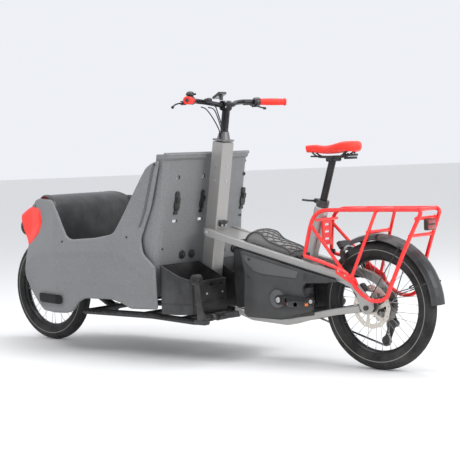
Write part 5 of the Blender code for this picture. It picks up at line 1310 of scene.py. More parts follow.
def front_wall_skin():
    """A rolled sheet that curves over the nose and down into the bay, with beaded edges."""
    path = smooth_path([(x, 0, z) for x, z in WALL_PATH], 6)
    made = bmesh.new()
    rows = []
    columns = 24
    for number, spot in enumerate(path):
        before, later = path[max(0, number - 1)], path[min(len(path) - 1, number + 1)]
        along = (later - before).normalized()
        out = Vector((-along.z, 0, along.x))
        half = half_width(spot.x, spot.z) - 0.019
        row = []
        for column in range(columns + 1):
            share = -1 + 2 * column / columns
            lift = 0.0025 * max(0.0, (abs(share) - 0.93) / 0.07) + 0.0012 * (1 - share * share)
            place = Vector((spot.x + SHIFT, share * half, spot.z)) + out * lift
            row.append(made.verts.new(place))
        rows.append(row)
    for low, high in zip(rows, rows[1:]):
        for column in range(columns):
            made.faces.new((low[column], low[column + 1], high[column + 1], high[column]))
    shape = to_object("front_wall_sheet", made, "liner", angle=60)
    shell = shape.modifiers.new("Sheet", "SOLIDIFY")
    shell.thickness = 0.004
    shell.offset = 0.0
    hems = []
    for side in (-1, 1):
        edge = [Vector((p.x + SHIFT, side * (half_width(p.x, p.z) - 0.017), p.z)) for p in path]
        hems.append(tube(edge, 0.0042, 10))
    hem = to_object("front_wall_hem", joined(hems), "black_plastic")
    screws = []
    for side in (-1, 1):
        for x, z, way in ((-0.800, 0.7425, Z), (-0.6475, 0.580, X), (-0.640, 0.400, X)):
            y = side * (half_width(x, z) - 0.045)
            screws.append(screw(Vector((x + SHIFT, y, z)) + Vector(way) * 0.002, way, 0.005))
    return [shape, hem, to_object("front_wall_screws", joined(screws), "bolt")]


NOSE_LINES = (
    [(-0.842, 0.556), (-0.900, 0.520), (-0.958, 0.486), (-0.988, 0.504), (-1.004, 0.520)],
    [(-0.818, 0.600), (-0.885, 0.600), (-0.950, 0.600), (-1.010, 0.596), (-1.048, 0.592)],
    [(-0.840, 0.688), (-0.895, 0.692), (-0.940, 0.694), (-1.015, 0.676), (-1.066, 0.658)])


def nose_pillow():
    """The soft nose cover: a padded band that wraps the box's front and rolls in at its hem."""
    lines = [smooth_path([(x, 0, z) for x, z in line], 6) for line in NOSE_LINES]
    count = len(lines[0])
    rows = []
    levels = 22
    made = bmesh.new()
    for level in range(levels + 1):
        share = level / levels
        puff = 1 - abs(2 * share - 1) ** 5
        half_row = []
        for number in range(count):
            low, mid, top = (line[number] for line in lines)
            spot = low * (1 - share) ** 2 + (mid * 2 - (low + top) * 0.5) * 2 * share * (1 - share) + top * share ** 2
            run = number / (count - 1)
            hem = 1 - (1 - min(1.0, run / 0.16)) ** 2
            swell = -0.006 + 0.0145 * puff * hem
            wide = half_width(spot.x, spot.z) + swell
            half_row.append(Vector((spot.x + 0.010 * (1 - puff) * run, wide, spot.z)))
        tip = half_row[-1]
        front = []
        for step in range(1, 14):
            turn = math.pi / 2 * step / 14
            front.append(Vector((tip.x - 0.034 * math.sin(turn) * (0.3 + 0.7 * puff),
                                 tip.y * math.cos(turn) ** 0.75, tip.z)))
        side = half_row + front
        row = [Vector((p.x, -p.y, p.z)) for p in side] + [Vector((side[-1].x - 0.001, 0, tip.z))]
        row += [Vector((p.x, p.y, p.z)) for p in side[::-1]]
        rows.append([made.verts.new((p.x + SHIFT, p.y, p.z)) for p in row])
    for low, high in zip(rows, rows[1:]):
        for number in range(len(low) - 1):
            made.faces.new((low[number], low[number + 1], high[number + 1], high[number]))
    for row, inward, up in ((rows[0], 0.60, 0.012), (rows[-1], 0.93, -0.040)):
        middle = [made.verts.new(Vector((v.co.x * 0.90 - 0.082, v.co.y * inward, v.co.z + up))) for v in row]
        for number in range(len(row) - 1):
            made.faces.new((row[number], row[number + 1], middle[number + 1], middle[number]))
    shape = to_object("nose_cushion", made, "coral", angle=75)
    shell = shape.modifiers.new("Padding", "SOLIDIFY")
    shell.thickness = 0.006
    shell.offset = -1.0
    seams = []
    for side in (-1, 1):
        points = [Vector((line[0].x + SHIFT + 0.001, side * (half_width(line[0].x, line[0].z) - 0.001), line[0].z))
                  for line in lines]
        seams.append(tube(smooth_path(points, 8), 0.0030, 8))
    return [shape, to_object("nose_piping", joined(seams), "coral")]


def lamp_pieces():
    """Round headlight: bezel, ribbed lens and cooling ribs behind."""
    low, high = (Vector(corner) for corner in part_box("headlight"))
    radius = min(high.y - low.y, high.z - low.z) / 2
    at = Vector((low.x, (low.y + high.y) / 2, high.z - radius))
    length = min(0.06, high.x - low.x)
    shell = lathe([(0, length), (radius * 0.62, length), (radius * 0.86, length * 0.72),
                   (radius * 0.98, length * 0.40), (radius, length * 0.12), (radius * 0.97, 0.0015),
                   (radius * 0.90, 0.0), (radius * 0.84, 0.0035), (0, 0.0065)], X, at, 40)
    glass = lathe([(0, 0.0008), (radius * 0.50, 0.0016), (radius * 0.83, 0.0040), (radius * 0.84, 0.0062),
                   (0, 0.0062)], X, at, 40)
    ribs = [lathe([(radius * 1.0, y), (radius * 1.015, y + 0.0008), (radius * 1.0, y + 0.0018),
                   (radius * 0.9, y + 0.0009)], X, at, 40, True) for y in (0.010, 0.014, 0.018)]
    return [to_object("headlight_shell", joined([shell, *ribs]), "black_plastic"),
            to_object("headlight_lens", glass, "clear_lens")]


# ---------------------------------------------------------------- back wall
ANCHORS = (-0.194, -0.024, 0.093, 0.263)


def wall_rear(z):
    """X of the back wall's rear face at a height."""
    column = COLUMN_HEAD.x + (z - COLUMN_HEAD.z) * COLUMN_UP.x / COLUMN_UP.z
    return column - 0.067 / 2 / COLUMN_UP.z - 0.044


def anchor_pieces():
    """Bell-shaped strap anchors with their straps, slots and the knobs below them."""
    lean = Matrix.Rotation(math.atan2(COLUMN_UP.x, COLUMN_UP.z), 3, "Y")
    out = lean @ X
    bells, straps, knobs, eyes = [], [], [], []
    bell = [(-0.010, 0.044), (0.010, 0.044), (0.013, 0.030), (0.011, 0.012), (0.017, -0.012), (0.017, -0.030),
            (0.010, -0.044), (-0.010, -0.044), (-0.017, -0.030), (-0.017, -0.012), (-0.011, 0.012), (-0.013, 0.030)]
    for y in ANCHORS:
        z = 0.708
        at = Vector((wall_rear(z) + 0.004, y, z))
        turn = Matrix((Y, lean @ Z, out)).transposed().to_4x4()
        bells.append(plate(rounded(bell, 0.006, 3), 0.010, Matrix.Translation(at) @ turn, 0.003))
        bells.append(moved(box((0.020, 0.026, 0.012), (0, 0.006, 0.008), None, 0.004),
                           Matrix.Translation(at) @ turn))
        low = Vector((wall_rear(0.656) + 0.0035, y - 0.004, 0.656))
        straps.append(strip([at - (lean @ Z) * 0.040 + out * 0.003, at.lerp(low, 0.6) + out * 0.004, low], Y,
                            0.011, 0.0025))
        bells.append(moved(box((0.026, 0.014, 0.006), (0, 0, 0), None, 0.0025), Matrix.Translation(low) @ turn))
        centre = Vector((wall_rear(EYELET_HEIGHT) + 0.0006, y, EYELET_HEIGHT))
        eyes.append(moved(lathe([(0.0058, 0.0), (0.0078, 0.0010), (0.0086, 0.0), (0.0058, -0.006)], Z,
                                (0, 0, 0), 24, True), Matrix.Translation(centre) @ turn))
    for y in (-0.130, -0.066, 0.149, 0.232):
        z = 0.465
        at = Vector((wall_rear(z) + 0.001, y, z))
        knobs.append(lathe([(0, 0.016), (0.007, 0.0155), (0.009, 0.013), (0.0095, 0.008), (0.0180, 0.006),
                            (0.020, 0.003), (0.020, -0.002)], out, at, 28))
    for side in (-1, 1):
        knobs.append(screw(Vector((wall_rear(0.500) + 0.001, side * 0.262, 0.500)), out, 0.005))
    lip = [Vector((wall_rear(0.914) - 0.006, y, 0.9165)) for y in (-0.286, -0.15, 0, 0.15, 0.286)]
    return [to_object("wall_anchors", joined(bells), "black_plastic"),
            to_object("wall_straps", joined(straps), "webbing"),
            to_object("wall_knobs", joined(knobs), "black_metal"),
            to_object("wall_eyelets", joined(eyes), "black_plastic"),
            to_object("wall_lip", tube(lip, 0.0075, 14), "box")]


# ---------------------------------------------------------------- bins, covers and rails
def bin_pieces(side):
    """The rolled rim, screws and pressed ribs of one open bin."""
    word = "left" if side < 0 else "right"
    front, rear, inner, outer, corner = 0.050, 0.212, 0.050, 0.300, 0.080
    plan = [(front, inner), (rear, inner)]
    for step in range(9):
        turn = math.radians(90 * step / 8)
        plan.append((rear - corner + corner * math.cos(turn), outer - corner + corner * math.sin(turn)))
    plan.append((front, outer))
    rim, rib = [], []
    for x, y in plan:
        drop = 0.075 * (x - front) / (rear - front)
        rim.append(Vector((x + SHIFT, side * y, 0.432 - drop)))
        rib.append(Vector((x + SHIFT, side * (y + 0.0004), 0.262)))
    edge = tube(rim[1:], 0.0042, 10)
    base = tube(rib[1:], 0.0022, 8)
    heads = [screw(Vector((front + SHIFT + 0.006, side * y, z)), X, 0.006)
             for y, z in ((0.095, 0.350), (0.230, 0.350), (0.160, 0.270))]
    heads += [screw(Vector((rear + SHIFT + 0.0005, side * y, 0.300)), X, 0.005) for y in (0.075, 0.180)]
    frames = []
    for y in (0.085, 0.150):
        loop = rounded([(-0.019, -0.009), (0.019, -0.009), (0.019, 0.009), (-0.019, 0.009)], 0.005)
        path = [Vector((rear + SHIFT + 0.0006, side * y + a, 0.338 + b)) for a, b in loop]
        frames.append(tube(path, 0.0016, 8, loop=True))
    return [to_object(f"bin_rim_{word}", joined([edge, base, *frames]), "black_plastic"),
            to_object(f"bin_screws_{word}", joined(heads), "bolt")]


COVER = [(0.362, 0.487), (0.383, 0.386), (0.378, 0.300), (0.372, 0.216), (0.388, 0.200),
         (0.560, 0.2045), (0.612, 0.212), (0.735, 0.240), (0.745, 0.262), (0.700, 0.300),
         (0.690, 0.340), (0.706, 0.358), (0.820, 0.362), (0.875, 0.372), (0.820, 0.382),
         (0.684, 0.412), (0.385, 0.484)]


def cover_pieces(side):
    """One drive cover: main shell, raised upper panel coloured lighter as painted light, motor disc, screws and the
    tail's socket.
    """
    word = "left" if side < 0 else "right"
    out = side * 0.1150
    flip = along_y(out, SHIFT, 0)
    hole = circle(0.0305, 40, (0.578, 0.284))
    shell = plate(rounded(COVER, 0.008, 3), 0.0120, flip, 0.0030, [hole])
    crease = [(0.385, 0.448), (0.405, 0.425), (0.435, 0.402), (0.480, 0.390), (0.560, 0.384), (0.660, 0.377)]
    upper = [(0.380, 0.470), *crease, (0.676, 0.404)]
    panel = plate(rounded(upper, 0.006, 3), 0.0030, along_y(out + side * 0.0068, SHIFT, 0), 0.0012)
    gap = strip([Vector((x + SHIFT, out + side * 0.0060, z - 0.004)) for x, z in crease], Z, 0.0024, 0.0012)
    hub = Vector((CRANK.x - 0.020, out, CRANK.z + 0.002))
    disc = lathe([(0, 0.0112), (0.0240, 0.0110), (0.0260, 0.0098), (0.0350, 0.0095), (0.0385, 0.0080),
                  (0.0388, 0.0)], Y * side, hub, 56)
    ring = lathe([(0.0392, 0.0040), (0.0392, 0.0074), (0.0455, 0.0074), (0.0475, 0.0040)], Y * side, hub, 56, True)
    seal = lathe([(0.0150, 0.006), (0.0225, 0.0080), (0.0295, 0.0072), (0.0300, 0.0)], Y * side,
                 Vector((CRANK.x, out, CRANK.z)), 40)
    heads = [screw(Vector((x + SHIFT, out + side * proud, z)), Y * side, 0.006)
             for x, z, proud in ((0.412, 0.452, 0.0094), (0.404, 0.375, 0.0062), (0.690, 0.262, 0.0062))]
    fillers = [strip([Vector((x + SHIFT, side * 0.1000, z)) for x, z in line], Z, 0.020, 0.006)
               for line in ([(0.372, 0.484), (0.684, 0.410), (0.850, 0.372)],
                            [(0.376, 0.207), (0.560, 0.204), (0.735, 0.232)])]
    tail = plate(rounded([(0.700, 0.3655), (0.842, 0.3665), (0.842, 0.3790), (0.700, 0.4000)], 0.007, 4), 0.0030,
                 along_y(out + side * 0.0058, SHIFT, 0), 0.001)
    return [to_object(f"cover_shell_{word}", shell, "covers"),
            # The upper panel takes the lighter copy of the cover plastic: painted light above the crease.
            to_object(f"cover_panel_{word}", panel, "covers_painted_light"),
            to_object(f"cover_disc_{word}", disc, "grey_pad"),
            to_object(f"cover_seams_{word}", joined([gap, ring, seal, tail, *fillers]), "black_plastic"),
            to_object(f"cover_screws_{word}", joined(heads), "black_metal")]


def weld_bead(centre, normal, radius, thick=0.0022):
    """A ring of small overlapping weld puddles."""
    turn = facing(normal, centre)
    path, radii = [], []
    for step in range(72):
        a = math.tau * step / 72
        path.append(turn @ Vector((radius * math.cos(a), radius * math.sin(a), 0)))
        radii.append(thick * (1 + 0.22 * math.cos(24 * a)))
    return tube(path, radii, 8, loop=True)


def column_pieces():
    """Bolts on the column's faces, the hinged fitting on its back and the rounded gusset ends."""
    lean = Matrix.Rotation(math.atan2(COLUMN_UP.x, COLUMN_UP.z), 3, "Y")
    out = lean @ X
    bolts, dark, bright = [], [], []
    for z in (0.858, 0.792):
        centre = COLUMN_HEAD + COLUMN_UP * ((z - COLUMN_HEAD.z) / COLUMN_UP.z)
        bolts.append(washer_bolt(centre + out * 0.0340, out, 0.0048, 0.003))
        for side in (-1, 1):
            bolts.append(washer_bolt(centre + Y * side * 0.0380, Y * side, 0.0048, 0.003))
    base = COLUMN_HEAD + COLUMN_UP * ((0.600 - COLUMN_HEAD.z) / COLUMN_UP.z) + out * 0.036
    turn = Matrix((Y, COLUMN_UP, out)).transposed().to_4x4()
    dark.append(moved(box((0.040, 0.026, 0.016), (0, 0.004, 0.004), None, 0.003), Matrix.Translation(base) @ turn))
    flap = rounded([(-0.022, 0.0), (0.022, 0.0), (0.027, 0.024), (0.016, 0.036), (-0.016, 0.036), (-0.027, 0.024)],
                   0.006)
    tilt = Matrix.Rotation(math.radians(-58), 4, "Y")
    dark.append(moved(plate(flap, 0.005, turn, 0.001), Matrix.Translation(base + out * 0.006 + COLUMN_UP * 0.010)
                      @ tilt))
    dark.append(tube([base + Y * -0.024 + COLUMN_UP * 0.012 + out * 0.008,
                      base + Y * 0.024 + COLUMN_UP * 0.012 + out * 0.008], 0.0046, 14))
    for side in (-1, 1):
        bolts.append(washer_bolt(base + Y * side * 0.013 + out * 0.012 - COLUMN_UP * 0.004, out, 0.0040, 0.003))
        spot = Vector((0.150 + SHIFT, side * 0.1002, 0.5635))
        bright.append(lathe([(0, 0.0016), (0.0100, 0.0014), (0.0128, 0.0), (0.0128, -0.003)], Y * side, spot, 28))
        bolts.append(washer_bolt(spot + Y * side * 0.0016, Y * side, 0.0046, 0.003))
    return [to_object("column_bolts", joined(bolts), "bolt"), to_object("column_fitting", joined(dark), "black_metal"),
            to_object("gusset_ends", joined(bright), "frame")]


def stand_pieces():
    """Ribs round the stand's two rollers and its torsion springs."""
    low, high = (Vector(corner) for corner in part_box("kickstand"))
    pivot = Vector(JOINTS["stand_fold"]["pos_m"])
    ribs, springs = [], []
    for side in (-1, 1):
        centre = Vector((low.x + 0.0245, side * 0.265, high.z - 0.0245))
        for step in range(5):
            ribs.append(lathe([(0.0236, -0.0012), (0.0252, -0.0006), (0.0252, 0.0006), (0.0236, 0.0012)], Z,
                              centre + Z * (0.0105 - 0.00525 * step), 28, True))
        coil = []
        for step in range(97):
            turn = math.tau * step / 16
            coil.append(pivot + Vector((0.0145 * math.cos(turn), side * (0.190 + 0.022 * step / 96),
                                        0.0145 * math.sin(turn))))
        springs.append(tube(coil, 0.0016, 6))
    return [to_object("stand_roller_ribs", joined(ribs), "soft_black"),
            to_object("stand_springs", joined(springs), "dark_steel")]


# ---------------------------------------------------------------- rack and mudguard
RACK_TOP = 0.660


def rack_y(z):
    return 0.070 + 0.042 * min(1.0, max(0.0, (RACK_TOP - z) / (RACK_TOP - 0.36)))


def rack_pieces():
    """The welded rack: side loops, uprights, cross bars, shoes, slotted bracket and clamps."""
    radius = sizes().rack_tube
    tubes, plates, bolts, dark, beads = [], [], [], [], []
    main = [(0.692, 0.468), (0.705, 0.545), (0.716, 0.598), (0.733, 0.634), (0.768, 0.656), (0.830, 0.660),
            (1.040, 0.660), (1.236, 0.660)]
    loop = [(1.236, 0.660), (1.246, 0.648), (1.240, 0.632), (1.180, 0.500), (1.120, 0.348), (1.106, 0.318),
            (1.082, 0.302), (1.052, 0.297), (1.020, 0.302), (0.992, 0.318)]
    lower = [(0.692, 0.470), (0.780, 0.4475), (0.870, 0.420), (0.915, 0.398), (0.955, 0.350), (0.992, 0.316)]
    runs = [(main, radius), (loop, radius), (lower, radius), ([(1.040, 0.660), (0.934, 0.386)], radius * 0.85),
            ([(0.716, 0.598), (0.905, 0.400)], radius * 0.85)]
    for side in (-1, 1):
        for points, thick in runs:
            spots = [Vector((x + SHIFT, side * rack_y(z), z)) for x, z in points]
            tubes.append(tube(smooth_path(spots, 5), thick, 16))
        for x, z in ((1.040, 0.652), (0.934, 0.390), (0.716, 0.594), (0.905, 0.404)):
            beads.append(weld_bead(Vector((x + SHIFT, side * rack_y(z), z)), Z, radius * 1.02, 0.0016))
        low = side * 0.1035
        shoe = rounded([(0.858, 0.432), (0.952, 0.388), (0.966, 0.360), (0.950, 0.352), (0.900, 0.376),
                        (0.852, 0.404)], 0.006)
        plates.append(plate(shoe, 0.005, along_y(low + side * 0.0015, SHIFT, 0), 0.001))
        for x, z in ((0.872, 0.416), (0.904, 0.398), (0.936, 0.378)):
            bolts.append(washer_bolt(Vector((x + SHIFT, low + side * 0.004, z)), Y * side, 0.0052, 0.004))
        dark.append(box((0.030, 0.012, 0.022), (0.700 + SHIFT, side * 0.092, 0.474), None, 0.004))
    for x, z in ((0.905, 0.660), (1.040, 0.660), (1.236, 0.660), (1.001, 0.5695), (1.200, 0.556), (1.226, 0.624)):
        tubes.append(tube([Vector((x + SHIFT, -rack_y(z), z)), Vector((x + SHIFT, rack_y(z), z))], radius * 0.9, 16))
        for side in (-1, 1):
            beads.append(weld_bead(Vector((x + SHIFT, side * (rack_y(z) - radius), z)), Y, radius * 0.95, 0.0015))
    slots = [rounded([(y - 0.016, z - 0.004), (y + 0.016, z - 0.004), (y + 0.016, z + 0.004), (y - 0.016, z + 0.004)],
                     0.0035, 3) for y, z in ((0.0, 0.030), (0.0, 0.0), (0.0, -0.030))]
    bracket = rounded([(-0.034, -0.056), (0.034, -0.056), (0.034, 0.056), (-0.034, 0.056)], 0.008)
    upright = Matrix(((0, 0, 1, 0.742 + SHIFT), (1, 0, 0, 0), (0, 1, 0, 0.566), (0, 0, 0, 1)))
    plates.append(plate(bracket, 0.004, upright, 0.0008, slots))
    tubes.append(tube([Vector((0.742 + SHIFT, -rack_y(0.624), 0.618)), Vector((0.742 + SHIFT, rack_y(0.624), 0.618))],
                      radius * 0.8, 14))
    return [to_object("rack_tubes", joined(tubes), "red"), to_object("rack_plates", joined(plates), "red"),
            to_object("rack_welds", joined(beads), "red"), to_object("rack_bolts", joined(bolts), "bolt"),
            to_object("rack_clamps", joined(dark), "black_plastic")]


def guard_pieces():
    """Rolled edge beads, wire stays and rivets on the rear mudguard."""
    radius = WHEEL_RADIUS + 0.028
    beads, stays = [], []
    for side in (-1, 1):
        path = []
        for step in range(41):
            turn = math.radians(114 - 111 * step / 40)
            path.append(REAR_AXLE + Vector((math.cos(turn) * (radius - 0.021), side * 0.0415,
                                            math.sin(turn) * (radius - 0.021))))
        beads.append(tube(path, 0.0030, 10))
        for turn in (22, 62):
            a = math.radians(turn)
            end = REAR_AXLE + Vector((math.cos(a) * (radius - 0.014), side * 0.045, math.sin(a) * (radius - 0.014)))
            foot = REAR_AXLE + Vector((0.012, side * 0.096, 0.030))
            stays.append(tube([foot, foot.lerp(end, 0.06) + Y * side * 0.003, foot.lerp(end, 0.9), end], 0.0022, 8))
            beads.append(lathe([(0, 0.003), (0.004, 0.002), (0.005, -0.001)], Y * side, end + Y * side * 0.001, 12))
    return [to_object("mudguard_beads", joined(beads), "black_plastic"),
            to_object("mudguard_stays", joined(stays), "black_metal")]


def tail_lamp_pieces():
    """Tail light: hooded housing, ribbed red lens and a red reflector above."""
    low, high = (Vector(corner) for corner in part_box("tail_light"))
    middle = (low + high) / 2
    size = high - low
    shell = box((size.x * 0.86, size.y * 0.98, size.z * 0.98), (middle.x - size.x * 0.05, middle.y, middle.z), None,
                0.006, 3)
    glass = box((size.x * 0.30, size.y * 0.86, size.z * 0.34), (high.x - size.x * 0.17, middle.y, middle.z - size.z * 0.2),
                None, 0.004, 3)
    mirror = box((size.x * 0.30, size.y * 0.80, size.z * 0.30), (high.x - size.x * 0.19, middle.y,
                                                               middle.z + size.z * 0.25), None, 0.002, 2)
    return [to_object("tail_light_housing", shell, "black_plastic"),
            to_object("tail_light_lens", glass, "red_lens"),
            to_object("rear_reflector", mirror, "red_lens")]


# ---------------------------------------------------------------- saddle and seat
def saddle_cover():
    """Padded saddle: dropped nose, raised tail, rounded flanks and a centre groove."""
    low, high = (Vector(corner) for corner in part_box("saddle"))
    length = high.x - low.x
    half = (high.y - low.y) / 2
    middle = (high.y + low.y) / 2
    made = bmesh.new()
    rows = []
    stations, around = 48, 40
    for step in range(stations + 1):
        share = step / stations
        x = low.x + length * (0.5 - 0.5 * math.cos(math.pi * share))
        run = (x - low.x) / length
        wide = 0.019 + (half - 0.019) * (1 / (1 + math.exp(-(run - 0.52) * 11)))
        wide *= math.sqrt(max(0.0, min(1.0, run / 0.05))) if run < 0.05 else 1.0
        wide *= math.sqrt(max(0.0, (1 - run) / 0.16)) if run > 0.84 else 1.0
        wide = max(wide, 0.0008)
        top = high.z - 0.004 - 0.014 * math.sin(math.pi * min(1.0, run * 1.25)) * (1 if run < 0.8 else 0.6)
        top -= 0.012 * max(0.0, (0.22 - run) / 0.22) ** 1.5
        top -= 0.020 * max(0.0, (run - 0.90) / 0.10) ** 2
        deep = 0.034 + 0.016 * run
        deep *= min(1.0, 0.35 + run / 0.06) * min(1.0, 0.40 + (1 - run) / 0.10)
        row = []
        for number in range(around):
            turn = math.tau * number / around
            across, up = math.cos(turn), math.sin(turn)
            y = wide * math.copysign(abs(across) ** 0.75, across)
            if up >= 0:
                z = top - deep * 0.34 + deep * 0.34 * up ** 0.8
                groove = math.exp(-(y / 0.011) ** 2) * 0.0065 * min(1.0, max(0.0, (run - 0.22) / 0.15))
                z -= groove * min(1.0, max(0.0, (0.95 - run) / 0.1)) * up
            else:
                z = top - deep * 0.34 + deep * 0.66 * up * (0.82 + 0.18 * abs(across))
            row.append(made.verts.new((x, middle + y, z)))
        rows.append(row)
    for first, last in zip(rows, rows[1:]):
        for number in range(around):
            after = (number + 1) % around
            made.faces.new((first[number], first[after], last[after], last[number]))
    made.faces.new(rows[0][::-1])
    made.faces.new(rows[-1])
    return to_object("saddle_cover", made, "saddle", angle=85)


def saddle_hardware():
    """Twin rails and the post's clamp cradle with its bolts."""
    low, high = (Vector(corner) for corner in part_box("saddle"))
    head = Vector(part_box("seatpost")[1])
    base_z = high.z - 0.058
    centre_x = (low.x + high.x) / 2 + 0.010
    rails = []
    for side in (-1, 1):
        points = [Vector((centre_x - 0.105, side * 0.012, base_z + 0.012)),
                  Vector((centre_x - 0.080, side * 0.016, base_z - 0.004)),
                  Vector((centre_x - 0.045, side * 0.022, base_z - 0.010)),
                  Vector((centre_x + 0.040, side * 0.022, base_z - 0.010)),
                  Vector((centre_x + 0.085, side * 0.034, base_z + 0.016))]
        rails.append(tube(smooth_path(points, 6), 0.0036, 12))
    clamp = [box((0.040, 0.056, 0.010), (head.x - 0.012, 0, base_z - 0.004), None, 0.003),
             box((0.036, 0.050, 0.010), (head.x - 0.012, 0, base_z - 0.016), None, 0.003)]
    bolts = [washer_bolt(Vector((head.x - 0.012 + dx, 0, base_z + 0.001)), Z, 0.004, 0.004) for dx in (-0.012, 0.012)]
    return [to_object("saddle_rails", joined(rails), "black_metal"),
            to_object("saddle_clamp", joined(clamp), "anodised"),
            to_object("saddle_bolts", joined(bolts), "bolt")]


# ---------------------------------------------------------------- handlebar
BAR_Z = 1.128


def bar_path(side=1):
    """Middle line of one half of the swept bar, from the clamp outward."""
    column = COLUMN_HEAD + COLUMN_UP * ((BAR_Z - COLUMN_HEAD.z) / COLUMN_UP.z)
    x = column.x - 0.006
    points = [(x, 0.0, 0), (x, 0.045, 0), (x - 0.022, 0.095, 0.010), (x - 0.034, 0.150, 0.016),
              (x - 0.026, 0.185, 0.017), (x + 0.020, 0.255, 0.015), (x + 0.076, 0.340, 0.012)]
    return smooth_path([Vector((a, side * b, BAR_Z + c)) for a, b, c in points], 8)


def grip_pieces(side):
    """A ribbed soft grip with its end plug and an inner clamp ring."""
    word = "left" if side < 0 else "right"
    path = bar_path(side)
    end = path[-1]
    along = (path[-1] - path[-9]).normalized()
    length = 0.126
    profile = [(0.0116, 0.0), (0.0152, 0.0015), (0.0160, 0.004)]
    for step in range(34):
        place = 0.006 + (length - 0.018) * step / 33
        swell = 0.0012 * math.sin(math.pi * step / 33)
        profile.append((0.0152 + swell - (0.0008 if step % 2 else 0.0), place))
    profile += [(0.0166, length - 0.008), (0.0172, length - 0.003), (0.0166, length), (0.0090, length + 0.0005)]
    grip = lathe(profile, along, end - along * length, 32)
    plug = lathe([(0, 0.0022), (0.0060, 0.0020), (0.0086, 0.0008), (0.0092, -0.002)], along, end + along * 0.0004, 28)
    clamp = lathe([(0.0116, -0.010), (0.0160, -0.010), (0.0166, -0.009), (0.0166, -0.001), (0.0160, 0.0),
                   (0.0116, 0.0)], along, end - along * length, 28, True)
    red = to_object(f"grip_{word}_cover", grip, "coral")
    return [red, to_object(f"grip_{word}_plug", joined([plug, clamp]), "black_plastic")]


def bar_extras():
    """Bell, thumb remote, gear shifter and the smooth bar with its clamp bolts."""
    bar = tube([*bar_path(-1)[::-1], *bar_path(1)[1:]], 0.0111, 20)
    centre = bar_path(1)[0]
    bell_at = Vector((0.2095, -0.250, 1.166))
    dome = lathe([(0, 0.0175), (0.006, 0.0170), (0.0125, 0.0145), (0.0175, 0.0090), (0.0195, 0.0015),
                  (0.0188, 0.0), (0.0160, 0.0)], Z, bell_at, 32)
    base = lathe([(0.0100, -0.016), (0.0140, -0.014), (0.0150, -0.002), (0.0120, 0.0)], Z, bell_at, 24)
    strap = lathe([(0.0118, -0.0045), (0.0142, -0.0045), (0.0142, 0.0045), (0.0118, 0.0045)],
                  (0.62, -0.78, 0), Vector((0.190, -0.248, 1.143)), 24, True)
    thumb = box((0.014, 0.004, 0.008), bell_at + Vector((0.018, 0.010, 0.004)), None, 0.0015)
    remote = box((0.030, 0.026, 0.014), (0.1975, -0.120, 1.148), None, 0.005, 3)
    keys = [box((0.007, 0.006, 0.003), (0.203, -0.120 + dy, 1.1558), None, 0.0012) for dy in (-0.007, 0.0, 0.007)]
    shifter = lathe([(0.0118, 0.0), (0.0185, 0.001), (0.0200, 0.005), (0.0200, 0.024), (0.0180, 0.028),
                     (0.0118, 0.029)], (0.55, 0.83, 0), Vector((0.1900, 0.205, 1.1435)), 28)
    lever = box((0.034, 0.008, 0.006), (0.196, 0.205, 1.122), Matrix.Identity(4), 0.002)
    bolts = [washer_bolt(centre + Vector((0.0185, dy, dz)), X, 0.0036, 0.003)
             for dy in (-0.018, 0.018) for dz in (-0.011, 0.013)]
    return [to_object("bar_tube", bar, "anodised"),
            to_object("bar_controls", joined([dome, base, strap, thumb, remote, shifter, lever]),
                      "black_plastic"),
            to_object("bar_keys", joined(keys), "grey_pad"), to_object("bar_bolts", joined(bolts), "bolt")]


def hose_set():
    """Three hoses that sweep from the bar's left half into the head of the column."""
    low, high = (Vector(corner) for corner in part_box("control_cables"))
    entry = Vector((high.x - 0.030, -0.046, low.z + 0.002))
    hoses = []
    for start, lift, spread in ((Vector((high.x - 0.040, low.y + 0.012, high.z - 0.004)), 0.00, 0.0),
                                (Vector((high.x - 0.040, low.y + 0.060, high.z - 0.006)), 0.012, 0.006),
                                (Vector((high.x - 0.030, -0.105, high.z + 0.004)), 0.018, 0.012)):
        points = [start, start + Vector((0.022, 0.010, -0.012 + lift * 0.3)),
                  start.lerp(entry, 0.42) + Vector((0.030, -0.006, 0.008 + lift)),
                  start.lerp(entry, 0.78) + Vector((0.020, spread, 0.010)),
                  entry + Vector((spread * 0.5, spread * 0.3, 0.020)),
                  entry + Vector((spread * 0.5, spread * 0.3, 0))]
        hoses.append(tube(smooth_path(points, 8), sizes().cable, 10))
    return to_object("control_hoses", joined(hoses), "hose")


# ---------------------------------------------------------------- net pouch
POUCH_TOP = [(0.345, 0.546), (0.372, 0.566), (0.400, 0.574), (0.432, 0.566), (0.470, 0.536), (0.550, 0.510),
             (0.590, 0.492)]
POUCH_FLOOR = ((0.345, 0.514), (0.590, 0.457))
POUCH_HALF = 0.0590
NET_LEAN = 0.16
NET_CORDS = 9


def pouch_top():
    """Gives the function that finds a point on the pouch's humped top."""
    line = smooth_path([Vector((x + SHIFT, 0, z)) for x, z in POUCH_TOP], 6)

    def on_top(share, across):
        run = min(max(share, 0.0), 1.0) * (len(line) - 1)
        first = min(int(run), len(line) - 2)
        here = line[first].lerp(line[first + 1], run - first)
        bow = 0.010 * abs(across) ** 3
        tuck = 0.009 * (max(0.0, 1 - share / 0.1) + max(0.0, (share - 0.9) / 0.1)) ** 2
        return Vector((here.x, across * POUCH_HALF, here.z - bow - tuck))

    return on_top


